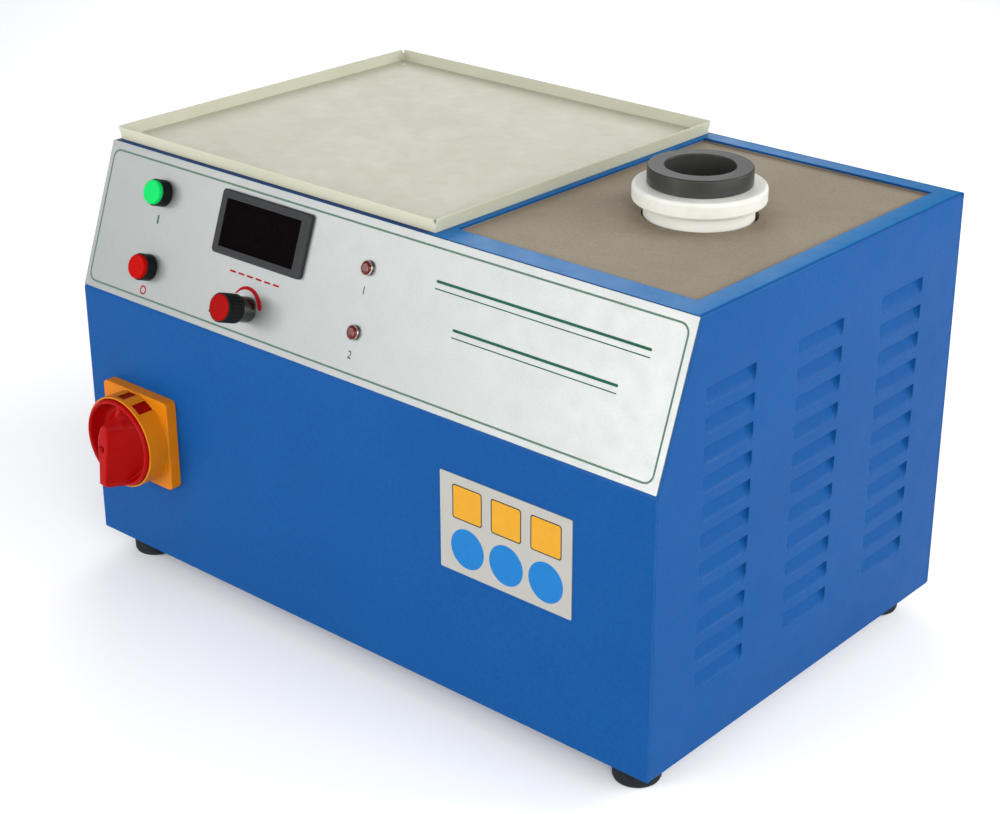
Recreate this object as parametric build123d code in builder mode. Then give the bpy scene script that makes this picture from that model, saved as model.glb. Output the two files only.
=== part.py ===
from build123d import *
import math
import os

# Bench-top induction furnace for melting gold: a folded sheet-steel cabinet with
# a sloping control face, a work tray on the left of the top and the crucible
# well on the right.  Units are millimetres, +Z is up, -Y is the operator's side.
# Below, "cabinet coordinates" start at the cabinet's lower left front corner.

os.makedirs("parts", exist_ok=True)

# ---------------------------------------------------------------- dimensions
W, D, H = 485.0, 311.5, 276.8          # cabinet without its feet
BEND_Z, PANEL_Y = 183.5, 34.0          # where the front starts to lean, and how far
T = 1.5                                # cabinet sheet
FP, PLATE_S = 0.8, 99.1                # control faceplate: thickness, height
GAP = 0.3                              # assembly gap between folded sheets
FOOT_H, FOOT_R, FOOT_R2 = 18.0, 15.5, 14.6
FOOT_IX, FOOT_IY = 25.4, 23.8          # foot centres in from the edges

SW_X, SW_Z, SW_R = 54.4, 90.2, 31.9    # main switch axis and collar radius
SW_RIM, SW_CREST = 23.4, 38.4          # collar rim and grip crest, out of the front
BTN_X, BTN_S1, BTN_S2 = 58.5, 74.6, 24.9
KNOB_X, KNOB_S = 155.2, 20.6
METER_X, METER_S, METER_W, METER_H = 155.8, 69.8, 80.6, 41.0
PANE_X, PANE_S, PANE_W, PANE_H = 155.1, 69.6, 67.8, 30.8
LAMP_X, LAMP_S1, LAMP_S2 = 248.0, 69.5, 29.6
LABEL_X0, LABEL_X1, LABEL_Z0, LABEL_Z1 = 326.8, 427.8, 85.5, 149.7

OPEN_X0, OPEN_X1, OPEN_Y0, OPEN_Y1 = 294.0, 469.5, 52.5, 299.0
FX, FY = 379.5, 176.2                  # furnace axis
TRAY_X0, TRAY_X1, TRAY_Y0, TRAY_Y1 = 3.0, 289.4, 38.3, 309.6
TRAY_H, TRAY_T, FLARE = 8.7, 1.2, 11.0

LV_ENDS, LV_LEN = (89.5, 179.0, 268.5), 47.5       # louvre columns
LV_TOP, LV_PITCH, LV_N, LV_H, LV_DEEP = 233.2, 18.0, 11, 11.3, 4.5

FAN_X, FAN_Z, FAN_SIZE = 150.0, 140.0, 120.0
GLAND_X, GLAND_Z = 45.0, 120.0
WATER_X1, WATER_X2, WATER_Z = 292.0, 430.0, 50.0
EARTH_X, EARTH_Z = 235.0, 40.0
REAR_END = 339.4                       # end of the water spigots

YC = (REAR_END - SW_CREST) / 2         # middle of the whole depth
X0, Y0, Z0 = -W / 2, -YC, FOOT_H

LEAN = math.atan2(PANEL_Y, H - BEND_Z)
SN, CS = math.sin(LEAN), math.cos(LEAN)

# ------------------------------------------------------------------- planes
BODY = Plane(origin=(X0, Y0, Z0))
FRONT = Plane(origin=(X0, Y0, Z0), x_dir=(1, 0, 0), z_dir=(0, -1, 0))
SIDE = Plane(origin=(X0, Y0, Z0), x_dir=(0, 1, 0), z_dir=(1, 0, 0))
PANEL = Plane(origin=(X0, Y0, Z0 + BEND_Z), x_dir=(1, 0, 0), z_dir=(0, -CS, SN))
FURNACE = Plane(origin=(X0 + FX, Y0 + FY, Z0))
SECTION = Plane(origin=(X0 + FX, Y0 + FY, Z0), x_dir=(1, 0, 0), z_dir=(0, -1, 0))
LOW = (Align.MIN, Align.MIN, Align.MIN)


def slope_y(z, off):
    """y of the leaning face's parallel line, off mm outside it, at height z."""
    s = (z - BEND_Z - off * SN) / CS
    return s * SN - off * CS


def slope_z(y, off):
    """height at which that line has depth y."""
    s = (y + off * CS) / SN
    return BEND_Z + s * CS + off * SN


# ================================================================= cabinet
REAR_SCREWS = [(5.2, 174.0), (W - 5.2, 174.0), (9.0, 34.0), (W - 9.0, 34.0),
               (9.0, 250.0), (W - 9.0, 250.0), (80.0, 269.0), (242.5, 269.0), (405.0, 269.0)]
BASE_REAR_SCREWS = [(80.0, 7.5), (405.0, 7.5)]
FEET = [(FOOT_IX, FOOT_IY), (W - FOOT_IX, FOOT_IY),
        (FOOT_IX, D - FOOT_IY), (W - FOOT_IX, D - FOOT_IY)]

# bottom: a shallow pan with a turned-up lip all round
with BuildPart(BODY) as base_pan:
    with Locations((T + GAP, T + GAP, 0)):
        Box(W - 2 * (T + GAP), D - 2 * (T + GAP), 14.0, align=LOW)
    with Locations((2 * T + GAP, 2 * T + GAP, T)):
        Box(W - 4 * T - 2 * GAP, D - 4 * T - 2 * GAP, 14.0, align=LOW, mode=Mode.SUBTRACT)
    with BuildSketch(BODY):
        with Locations(*FEET):
            Circle(2.7)
    extrude(amount=T, mode=Mode.SUBTRACT)
    with BuildSketch(FRONT.offset(-D)):
        with Locations(*BASE_REAR_SCREWS):
            Circle(1.7)
    extrude(amount=5, mode=Mode.SUBTRACT)
base_pan.part.label = "base_pan"
export_step(base_pan.part, "parts/base_pan.step")

# front: upright below, leaning back above, one folded sheet
with BuildPart() as front_panel:
    with BuildSketch(SIDE):
        with BuildLine():
            Polyline((0, 0), (0, slope_z(0, -FP)), (slope_y(275.1, -FP), 275.1),
                     (slope_y(275.1, -FP - T), 275.1), (T, slope_z(T, -FP - T)), (T, 0), close=True)
        make_face()
    extrude(amount=W)
    bends = front_panel.edges().filter_by(Axis.X).filter_by(
        lambda e: abs(e.center().Z - Z0 - 181) < 2)
    fillet(bends.sort_by(Axis.Y)[0], 3.0)
    # main switch, button, knob, lamp and meter holes
    with BuildSketch(FRONT):
        with Locations((SW_X, SW_Z)):
            Circle(9.0)
        with Locations((SW_X, SW_Z)):
            with GridLocations(30, 30, 2, 2):
                Circle(2.3)
    extrude(amount=-T - 1, mode=Mode.SUBTRACT)
    with BuildSketch(PANEL):
        with Locations((BTN_X, BTN_S1), (BTN_X, BTN_S2)):
            Circle(6.3)
        with Locations((KNOB_X, KNOB_S)):
            Circle(4.0)
        with Locations((LAMP_X, LAMP_S1), (LAMP_X, LAMP_S2)):
            Circle(3.6)
        with Locations((METER_X, METER_S)):
            Rectangle(75.6, 37.6)
    extrude(amount=-FP - T - 1, mode=Mode.SUBTRACT)
front_panel.part.label = "front_panel"
export_step(front_panel.part, "parts/front_panel.step")

# silver faceplate, glued over the whole leaning face
with BuildPart() as control_faceplate:
    with BuildSketch(PANEL.offset(-FP)):
        with Locations((W / 2, PLATE_S / 2)):
            RectangleRounded(W - 0.6, PLATE_S, 0.6)
        with Locations((BTN_X, BTN_S1), (BTN_X, BTN_S2)):
            Circle(6.3, mode=Mode.SUBTRACT)
        with Locations((KNOB_X, KNOB_S)):
            Circle(4.0, mode=Mode.SUBTRACT)
        with Locations((LAMP_X, LAMP_S1), (LAMP_X, LAMP_S2)):
            Circle(3.6, mode=Mode.SUBTRACT)
        with Locations((METER_X, METER_S)):
            Rectangle(75.6, 37.6, mode=Mode.SUBTRACT)
    extrude(amount=FP)
control_faceplate.part.label = "control_faceplate"
export_step(control_faceplate.part, "parts/control_faceplate.step")

# cover: top and both sides folded from one sheet, louvred, with the furnace opening
SIDE_OFF = -FP - T - GAP
with BuildPart() as cover:
    for x_side in (0.0, W - T):
        with BuildSketch(SIDE.offset(x_side)):
            with BuildLine():
                Polyline((T + GAP, 0), (T + GAP, slope_z(T + GAP, SIDE_OFF)),
                         (slope_y(H, SIDE_OFF), H), (D - T - 0.2, H), (D - T - 0.2, 0), close=True)
            make_face()
        extrude(amount=T)
    with BuildSketch(BODY.offset(H - T)):
        with Locations((W / 2, (34.8 + D - T - 0.2) / 2)):
            Rectangle(W, D - T - 0.2 - 34.8)
    extrude(amount=T)
    long_edges = cover.edges().filter_by(Axis.Y).filter_by(lambda e: e.length > 250)
    fillet(long_edges.group_by(Axis.Z)[-1], 2.6)
    inner = cover.edges().filter_by(Axis.Y).filter_by(
        lambda e: e.length > 250 and abs(e.center().Z - Z0 - H + T) < 0.1)
    fillet(inner, 1.1)
    # return flanges behind the rear panel
    with BuildSketch(FRONT.offset(-(D - T - 0.2))):
        with Locations((T - 0.05, 15.5), (W - 13.5, 15.5)):
            Rectangle(12.05, H - T - 15.4, align=(Align.MIN, Align.MIN))
        with Locations((W / 2, H - T - 12)):
            Rectangle(W - 2 * T - 8, 12.1, align=(Align.CENTER, Align.MIN))
    extrude(amount=T)
    # furnace opening
    with BuildSketch(BODY.offset(H)):
        with Locations(((OPEN_X0 + OPEN_X1) / 2, (OPEN_Y0 + OPEN_Y1) / 2)):
            RectangleRounded(OPEN_X1 - OPEN_X0, OPEN_Y1 - OPEN_Y0, 2.0)
    extrude(amount=-T - 0.2, mode=Mode.SUBTRACT)
    # louvres: pressed inwards, open along the top edge
    for y_end in LV_ENDS:
        with BuildSketch(FRONT.offset(-(y_end + 1.2))):
            for k in range(LV_N):
                z1 = LV_TOP - k * LV_PITCH
                z0 = z1 - LV_H
                with BuildLine():
                    Polyline((W - 0.6, z0 - 2.2), (W - LV_DEEP - 1.3, z1), (W - 0.6, z1), close=True)
                make_face()
                with BuildLine():
                    Polyline((0.6, z0 - 2.2), (LV_DEEP + 1.3, z1), (0.6, z1), close=True)
                make_face()
        extrude(amount=LV_LEN + 2.4)
    for y_end in LV_ENDS:
        with BuildSketch(FRONT.offset(-y_end)):
            for k in range(LV_N):
                z1 = LV_TOP - k * LV_PITCH
                z0 = z1 - LV_H
                with BuildLine():
                    Polyline((W + 0.3, z0 - 0.75), (W - LV_DEEP, z1), (W + 0.3, z1), close=True)
                make_face()
                with BuildLine():
                    Polyline((-0.3, z0 - 0.75), (LV_DEEP, z1), (-0.3, z1), close=True)
                make_face()
        extrude(amount=LV_LEN, mode=Mode.SUBTRACT)
    with BuildSketch(FRONT.offset(-D)):
        with Locations(*REAR_SCREWS):
            Circle(1.7)
    extrude(amount=6, mode=Mode.SUBTRACT)
cover.part.label = "cover"
export_step(cover.part, "parts/cover.step")

# rear panel with the fan, gland, water and earth holes
with BuildPart() as rear_panel:
    with BuildSketch(FRONT.offset(-(D - T))):
        with Locations((W / 2, H / 2)):
            RectangleRounded(W, H, 0.8)
        with Locations((FAN_X, FAN_Z)):
            Circle(57.0, mode=Mode.SUBTRACT)
            with GridLocations(105, 105, 2, 2):
                Circle(2.2, mode=Mode.SUBTRACT)
        with Locations((GLAND_X, GLAND_Z)):
            Circle(10.2, mode=Mode.SUBTRACT)
        with Locations((WATER_X1, WATER_Z), (WATER_X2, WATER_Z)):
            Circle(7.2, mode=Mode.SUBTRACT)
        with Locations((EARTH_X, EARTH_Z)):
            Circle(3.2, mode=Mode.SUBTRACT)
        with Locations(*REAR_SCREWS, *BASE_REAR_SCREWS):
            Circle(1.7, mode=Mode.SUBTRACT)
    extrude(amount=-T)
rear_panel.part.label = "rear_panel"
export_step(rear_panel.part, "parts/rear_panel.step")

with BuildPart() as rear_screws:
    with BuildSketch(FRONT.offset(-D)):
        with Locations(*REAR_SCREWS, *BASE_REAR_SCREWS):
            Circle(3.3)
    extrude(amount=-2.0)
    fillet(rear_screws.faces().sort_by(Axis.Y)[-11:].edges().filter_by(GeomType.CIRCLE), 0.9)
    with BuildSketch(FRONT.offset(-D)):
        with Locations(*REAR_SCREWS, *BASE_REAR_SCREWS):
            Circle(1.55)
    extrude(amount=4.2)
    with BuildSketch(FRONT.offset(-D - 2.0)):
        with Locations(*REAR_SCREWS, *BASE_REAR_SCREWS):
            Rectangle(3.4, 0.7)
            Rectangle(0.7, 3.4)
    extrude(amount=0.9, mode=Mode.SUBTRACT)
rear_screws.part.label = "rear_screws"
export_step(rear_screws.part, "parts/rear_screws.step")

# rubber feet and their screws
with BuildPart() as feet:
    for fx, fy in FEET:
        with BuildSketch(Plane(origin=(X0 + fx, Y0 + fy, Z0), x_dir=(1, 0, 0), z_dir=(0, -1, 0))):
            with BuildLine():
                Polyline((2.7, 0), (FOOT_R - 0.6, 0), (FOOT_R, -0.8), (FOOT_R2 + 0.25, -FOOT_H + 2.4),
                         (FOOT_R2 - 0.45, -FOOT_H + 0.75), (FOOT_R2 - 2.2, -FOOT_H), (5.6, -FOOT_H),
                         (5.6, -FOOT_H + 8), (2.7, -FOOT_H + 8), close=True)
            make_face()
        revolve(axis=Axis((X0 + fx, Y0 + fy, 0), (0, 0, 1)))
feet.part.label = "feet"
export_step(feet.part, "parts/feet.step")

with BuildPart() as foot_screws:
    with BuildSketch(BODY.offset(-FOOT_H + 4.6)):
        with Locations(*FEET):
            Circle(4.6)
    extrude(amount=3.4)
    with BuildSketch(BODY.offset(-FOOT_H + 8)):
        with Locations(*FEET):
            Circle(2.5)
    extrude(amount=FOOT_H - 8 + T + 6)
    with BuildSketch(BODY.offset(T)):
        with Locations(*FEET):
            RegularPolygon(5.0, 6)
    extrude(amount=4.0)
    with BuildSketch(BODY.offset(-FOOT_H + 4.6)):
        with Locations(*FEET):
            Rectangle(5.0, 0.9)
            Rectangle(0.9, 5.0)
    extrude(amount=1.4, mode=Mode.SUBTRACT)
foot_screws.part.label = "foot_screws"
export_step(foot_screws.part, "parts/foot_screws.step")

# plate glued on the front, left blank
with BuildPart() as label_plate:
    with BuildSketch(FRONT):
        with Locations(((LABEL_X0 + LABEL_X1) / 2, (LABEL_Z0 + LABEL_Z1) / 2)):
            RectangleRounded(LABEL_X1 - LABEL_X0, LABEL_Z1 - LABEL_Z0, 0.8)
    extrude(amount=0.6)
label_plate.part.label = "label_plate"
export_step(label_plate.part, "parts/label_plate.step")

# ==================================================================== tray
TRAY_SCREWS = [(277.0, 53.0), (15.7, 53.0), (277.0, 296.3), (15.7, 296.3)]
TW, TL = TRAY_X1 - TRAY_X0, TRAY_Y1 - TRAY_Y0
TCX, TCY = (TRAY_X0 + TRAY_X1) / 2, (TRAY_Y0 + TRAY_Y1) / 2
with BuildPart() as tray:
    with BuildSketch(BODY.offset(H)):
        with Locations((TCX, TCY)):
            RectangleRounded(TW, TL, 1.0)
    extrude(amount=TRAY_H, taper=-FLARE)
    with BuildSketch(BODY.offset(H + TRAY_T)):
        with Locations((TCX, TCY)):
            RectangleRounded(TW - 2.2, TL - 2.2, 0.6)
    extrude(amount=TRAY_H, taper=-FLARE, mode=Mode.SUBTRACT)
    fillet(tray.faces().sort_by(Axis.Z)[-1].edges(), 0.4)
    # the corners are notched where the sheet was folded
    for cx, cy in ((TRAY_X0, TRAY_Y0), (TRAY_X1, TRAY_Y0), (TRAY_X0, TRAY_Y1), (TRAY_X1, TRAY_Y1)):
        ux, uy = math.copysign(1, TCX - cx), math.copysign(1, TCY - cy)
        with BuildSketch(BODY.offset(H)):
            with Locations((cx + 2.6 * ux, cy + 2.6 * uy)):
                Circle(1.3)
        extrude(amount=TRAY_T, mode=Mode.SUBTRACT)
        with BuildSketch(BODY.offset(H + TRAY_H)):
            with Locations(Location((cx - 0.4 * ux, cy - 0.4 * uy), 45 if ux * uy > 0 else -45)):
                Rectangle(9.0, 1.3)
        extrude(amount=-2.4, mode=Mode.SUBTRACT)
    with BuildSketch(BODY.offset(H)):
        with Locations(*TRAY_SCREWS):
            Circle(1.45)
    extrude(amount=TRAY_T, mode=Mode.SUBTRACT)
tray.part.label = "tray"
export_step(tray.part, "parts/tray.step")

with BuildPart() as tray_screws:
    with BuildSketch(BODY.offset(H + TRAY_T)):
        with Locations(*TRAY_SCREWS):
            Circle(1.9)
    extrude(amount=0.8)
    with BuildSketch(BODY.offset(H + 0.05)):
        with Locations(*TRAY_SCREWS):
            Circle(1.3)
    extrude(amount=TRAY_T)
    with BuildSketch(BODY.offset(H + TRAY_T + 0.8)):
        with Locations(*TRAY_SCREWS):
            Rectangle(2.4, 0.5)
    extrude(amount=-0.4, mode=Mode.SUBTRACT)
tray_screws.part.label = "tray_screws"
export_step(tray_screws.part, "parts/tray_screws.step")

# ============================================================ furnace well
BOARD_TOP = H - T - 1.0
BOARD_T = 8.0
BOARD_X0, BOARD_X1, BOARD_Y0, BOARD_Y1 = 286.0, 478.0, 46.0, 305.0
BCX, BCY = (BOARD_X0 + BOARD_X1) / 2, (BOARD_Y0 + BOARD_Y1) / 2

with BuildPart() as furnace_board:
    with BuildSketch(BODY.offset(BOARD_TOP)):
        with Locations((BCX, BCY)):
            Rectangle(BOARD_X1 - BOARD_X0, BOARD_Y1 - BOARD_Y0)
        with Locations((FX + 0.55, FY + 0.45)):
            Circle(36.0, mode=Mode.SUBTRACT)
    extrude(amount=-BOARD_T)
furnace_board.part.label = "furnace_board"
export_step(furnace_board.part, "parts/furnace_board.step")

with BuildPart() as board_gasket:
    with BuildSketch(BODY.offset(BOARD_TOP)):
        with Locations((BCX, BCY)):
            Rectangle(BOARD_X1 - BOARD_X0, BOARD_Y1 - BOARD_Y0)
        with Locations(((OPEN_X0 + OPEN_X1) / 2, (OPEN_Y0 + OPEN_Y1) / 2)):
            Rectangle(OPEN_X1 - OPEN_X0 + 1.6, OPEN_Y1 - OPEN_Y0 + 1.6, mode=Mode.SUBTRACT)
    extrude(amount=1.0)
board_gasket.part.label = "board_gasket"
export_step(board_gasket.part, "parts/board_gasket.step")

# two Z rails under the cover that carry the board
with BuildPart() as board_rails:
    with BuildSketch(SIDE.offset(BOARD_X0)):
        with Locations((BOARD_Y0 - 1.7, BOARD_TOP - BOARD_T - T)):
            Rectangle(T, BOARD_T + 1.0 + T, align=(Align.MIN, Align.MIN))
            Rectangle(12.0, T, align=(Align.MIN, Align.MIN))
        with Locations((BOARD_Y1 + 0.2, BOARD_TOP - BOARD_T - T)):
            Rectangle(T, BOARD_T + 1.0 + T, align=(Align.MIN, Align.MIN))
        with Locations((BOARD_Y1 + 0.2 + T, BOARD_TOP - BOARD_T - T)):
            Rectangle(12.0, T, align=(Align.MAX, Align.MIN))
    extrude(amount=BOARD_X1 - BOARD_X0)
board_rails.part.label = "board_rails"
export_step(board_rails.part, "parts/board_rails.step")

JK_TOP, JK_FL, JK_R, JK_RF, JK_RI = H + 16.9, H + 6.7, 34.2, 41.4, 27.6
JK_BOT, BRICK_TOP = 186.3, 186.0
with BuildPart() as crucible_jacket:
    with BuildSketch(SECTION):
        with BuildLine():
            Polyline((0, JK_BOT), (JK_R - 1.5, JK_BOT), (JK_R, JK_BOT + 1.5), (JK_R, JK_FL),
                     (JK_RF - 1.3, JK_FL), (JK_RF - 0.35, JK_FL + 0.4), (JK_RF, JK_FL + 1.4),
                     (JK_RF, JK_TOP),
                     (JK_RI + 0.8, JK_TOP), (JK_RI, JK_TOP - 0.8), (JK_RI, JK_BOT + 6),
                     (0, JK_BOT + 6), close=True)
        make_face()
    revolve(axis=Axis((X0 + FX, Y0 + FY, 0), (0, 0, 1)))
    fillet(crucible_jacket.edges().filter_by(GeomType.CIRCLE).filter_by(
        lambda e: abs(e.radius - JK_RF) < 0.05 and abs(e.center().Z - Z0 - JK_TOP) < 0.05), 2.4)
crucible_jacket.part.label = "crucible_jacket"
export_step(crucible_jacket.part, "parts/crucible_jacket.step")

CR_TOP, CR_RIM, CR_R, CR_BORE = H + 28.2, 32.55, 27.0, 21.75
CR_RIM_Z, CR_BOT = JK_TOP + 0.25, JK_BOT + 7.0
with BuildPart() as crucible:
    with BuildSketch(SECTION):
        with BuildLine():
            Polyline((0, CR_BOT), (CR_R - 2.0, CR_BOT), (CR_R, CR_BOT + 2.0), (CR_R, CR_RIM_Z),
                     (CR_RIM - 0.7, CR_RIM_Z), (CR_RIM, CR_RIM_Z + 0.7), (CR_RIM, CR_TOP - 0.8),
                     (CR_RIM - 0.8, CR_TOP), (CR_BORE + 0.6, CR_TOP), (CR_BORE, CR_TOP - 0.6),
                     (CR_BORE, CR_BOT + 16), (CR_BORE - 3.0, CR_BOT + 11.5), (CR_BORE - 8.0, CR_BOT + 10),
                     (0, CR_BOT + 10), close=True)
        make_face()
    revolve(axis=Axis((X0 + FX, Y0 + FY, 0), (0, 0, 1)))
crucible.part.label = "crucible"
export_step(crucible.part, "parts/crucible.step")

with BuildPart() as coil_liner:
    with BuildSketch(FURNACE.offset(BRICK_TOP)):
        Circle(44.2)
        Circle(35.5, mode=Mode.SUBTRACT)
    extrude(amount=BOARD_TOP - BOARD_T - BRICK_TOP - 0.3)
coil_liner.part.label = "coil_liner"
export_step(coil_liner.part, "parts/coil_liner.step")

with BuildPart() as refractory_base:
    with BuildSketch(FURNACE.offset(150.0)):
        Rectangle(118, 118)
    extrude(amount=BRICK_TOP - 150.0)
    chamfer(refractory_base.edges().filter_by(Axis.Z), 3.0)
refractory_base.part.label = "refractory_base"
export_step(refractory_base.part, "parts/refractory_base.step")

with BuildPart() as furnace_stand:
    with BuildSketch(SECTION):
        with BuildLine():
            Polyline((-76, T), (-76, T + 2), (-61, T + 2), (-61, 150), (61, 150), (61, T + 2),
                     (76, T + 2), (76, T), (59, T), (59, 148), (-59, 148), (-59, T), close=True)
        make_face()
    extrude(amount=60, both=True)
furnace_stand.part.label = "furnace_stand"
export_step(furnace_stand.part, "parts/furnace_stand.step")

# water-cooled copper coil: a round tube wound six and a bit turns
COIL_R, TUBE_R, COIL_Z, COIL_PITCH = 49.0, 4.0, 191.0, 11.3
COIL_TURNS = 6 + 40 / 360
LUG_X = COIL_R * math.sin(math.radians(20))
coil_line = (Location((X0 + FX, Y0 + FY, Z0 + COIL_Z), (0, 0, -110))
             * Helix(pitch=COIL_PITCH, height=COIL_PITCH * COIL_TURNS, radius=COIL_R))
with BuildPart() as induction_coil:
    with BuildSketch(Plane(origin=coil_line @ 0, z_dir=coil_line % 0)):
        Circle(TUBE_R)
    sweep(path=coil_line, is_frenet=True)
    for side, lug_z in ((-1, COIL_Z), (1, COIL_Z + COIL_PITCH * COIL_TURNS)):
        with BuildSketch(BODY.offset(lug_z - 3)):
            with Locations((FX + side * LUG_X, 98)):
                Rectangle(9, 34, align=(Align.CENTER, Align.MIN))
        extrude(amount=6)
        with BuildSketch(SIDE.offset(FX + side * (LUG_X + 4.5))):
            with Locations((106, lug_z)):
                Circle(3.0)
        extrude(amount=side * 12)
induction_coil.part.label = "induction_coil"
export_step(induction_coil.part, "parts/induction_coil.step")

with BuildPart() as tank_capacitor:
    with BuildSketch(BODY.offset(T)):
        with Locations((FX, 60)):
            RectangleRounded(110, 70, 4)
    extrude(amount=84)
    with BuildSketch(BODY.offset(T + 84)):
        with Locations((FX - LUG_X, 60), (FX + LUG_X, 60)):
            Circle(6)
    extrude(amount=5)
tank_capacitor.part.label = "tank_capacitor"
export_step(tank_capacitor.part, "parts/tank_capacitor.step")

with BuildPart() as busbars:
    for side, lug_z in ((-1, COIL_Z), (1, COIL_Z + COIL_PITCH * COIL_TURNS)):
        with BuildSketch(SIDE.offset(FX + side * LUG_X - 7)):
            with BuildLine():
                Polyline((50, T + 89), (98, T + 89), (98, lug_z + 6), (94, lug_z + 6),
                         (94, T + 93), (50, T + 93), close=True)
            make_face()
        extrude(amount=14)
busbars.part.label = "busbars"
export_step(busbars.part, "parts/busbars.step")

# ============================================================= main switch
with BuildPart() as switch_plate:
    with BuildSketch(FRONT):
        with Locations((SW_X, SW_Z)):
            RectangleRounded(64.6, 64, 3.5)
    extrude(amount=8.0)
    fillet(switch_plate.faces().sort_by(Axis.Y)[0].edges(), 0.8)
    with BuildSketch(FRONT.offset(7.0)):
        with Locations((SW_X, SW_Z)):
            Circle(SW_R)
    extrude(amount=SW_RIM - 7.0, taper=0.0)
    with BuildSketch(FRONT.offset(5.0)):
        with Locations((SW_X, SW_Z)):
            Circle(SW_R - 1.3)
    extrude(amount=SW_RIM, mode=Mode.SUBTRACT)
    fillet(switch_plate.faces().sort_by(Axis.Y)[0].edges(), 0.45)
    with BuildSketch(FRONT):
        with Locations((SW_X, SW_Z)):
            Circle(8.0)
            with GridLocations(30, 30, 2, 2):
                Circle(2.2)
    extrude(amount=8.5, mode=Mode.SUBTRACT)
    with BuildSketch(FRONT.offset(2.4)):
        with Locations((SW_X, SW_Z)):
            with GridLocations(30, 30, 2, 2):
                Circle(3.3)
    extrude(amount=6.0, mode=Mode.SUBTRACT)
    # padlock windows round the top of the collar
    for turn in (-30, 0, 30):
        a = math.radians(turn)
        with BuildSketch(Plane(origin=(X0 + SW_X, Y0 - 14.4, Z0 + SW_Z),
                               x_dir=(math.cos(a), 0, -math.sin(a)),
                               z_dir=(math.sin(a), 0, math.cos(a)))):
            Rectangle(9.4, 12.0)
        extrude(amount=SW_R + 2, mode=Mode.SUBTRACT)
switch_plate.part.label = "switch_plate"
export_step(switch_plate.part, "parts/switch_plate.step")

with BuildPart() as switch_screws:
    with BuildSketch(FRONT.offset(2.4)):
        with Locations((SW_X, SW_Z)):
            with GridLocations(30, 30, 2, 2):
                Circle(3.1)
    extrude(amount=2.2)
    with BuildSketch(FRONT.offset(2.4)):
        with Locations((SW_X, SW_Z)):
            with GridLocations(30, 30, 2, 2):
                Circle(2.0)
    extrude(amount=-12)
    with BuildSketch(FRONT.offset(4.6)):
        with Locations((SW_X, SW_Z)):
            with GridLocations(30, 30, 2, 2):
                Rectangle(4.4, 0.8)
                Rectangle(0.8, 4.4)
    extrude(amount=-1.0, mode=Mode.SUBTRACT)
switch_screws.part.label = "switch_screws"
export_step(switch_screws.part, "parts/switch_screws.step")

# red handle: a drum inside the collar, a dished face and the grip across it,
# which stands a few degrees off the upright
DRUM_R, DRUM_IN, DRUM_F, DISH = SW_R - 1.6, 5.4, 26.0, 14.5
GRIP_A = math.radians(5)
GRIP_X, GRIP_U = (math.cos(GRIP_A), 0, -math.sin(GRIP_A)), (math.sin(GRIP_A), 0, math.cos(GRIP_A))
SW_O = (X0 + SW_X, Y0, Z0 + SW_Z)
GRIP = Plane(origin=SW_O, x_dir=GRIP_X, z_dir=(0, -1, 0))
GRIP_SIDE = Plane(origin=SW_O, x_dir=(0, 1, 0), z_dir=GRIP_X)
GRIP_END = Plane(origin=SW_O, x_dir=GRIP_X, z_dir=(-GRIP_U[0], 0, -GRIP_U[2]))
with BuildPart() as switch_handle:
    with BuildSketch(FRONT.offset(DRUM_IN)):
        with Locations((SW_X, SW_Z)):
            Circle(DRUM_R)
    extrude(amount=DRUM_F - DRUM_IN)
    fillet(switch_handle.faces().sort_by(Axis.Y)[0].edges(), 1.0)
    with BuildSketch(FRONT.offset(DRUM_F)):
        with Locations((SW_X, SW_Z)):
            Circle(DRUM_R - 3.0)
    extrude(amount=-(DRUM_F - DISH), taper=12, mode=Mode.SUBTRACT)
    with BuildSketch(GRIP.offset(DISH - 1.0)):
        with BuildLine():
            Polyline((-10.0, -25.5), (10.0, -25.5), (8.6, 16.5), (6.4, 20.5),
                     (-6.4, 20.5), (-8.6, 16.5), close=True)
        make_face()
    extrude(amount=SW_CREST - DISH + 1.0, taper=10)
    # its lower end, out to the drum's edge
    with BuildSketch(GRIP_END.offset(17.0)):
        with BuildLine():
            Polyline((-9.8, 24.0), (9.8, 24.0), (5.0, SW_CREST - 0.6), (4.4, SW_CREST), (-4.4, SW_CREST),
                     (-5.0, SW_CREST - 0.6), close=True)
        make_face()
    extrude(amount=11.2)
    # the crest falls away towards the top
    with BuildSketch(GRIP_SIDE):
        with BuildLine():
            Polyline((-SW_CREST - 1, 8.0), (-SW_CREST, 8.0), (-33.8, 14.5), (-26.0, 20.0),
                     (-26.0, 24.0), (-SW_CREST - 1, 24.0), close=True)
        make_face()
    extrude(amount=14, both=True, mode=Mode.SUBTRACT)
    with BuildSketch(FRONT.offset(SW_CREST)):
        with Locations((SW_X, SW_Z)):
            Circle(1.9)
    extrude(amount=-7, mode=Mode.SUBTRACT)
    with BuildSketch(FRONT.offset(DRUM_IN)):
        with Locations((SW_X, SW_Z)):
            Rectangle(6.0, 6.0)
    extrude(amount=14, mode=Mode.SUBTRACT)
switch_handle.part.label = "switch_handle"
export_step(switch_handle.part, "parts/switch_handle.step")

with BuildPart() as switch_shaft:
    with BuildSketch(FRONT.offset(DRUM_IN + 14)):
        with Locations((SW_X, SW_Z)):
            Rectangle(6.0, 6.0)
    extrude(amount=-(DRUM_IN + 14))
    with BuildSketch(FRONT):
        with Locations((SW_X, SW_Z)):
            Circle(4.0)
    extrude(amount=-14)
switch_shaft.part.label = "switch_shaft"
export_step(switch_shaft.part, "parts/switch_shaft.step")

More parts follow.
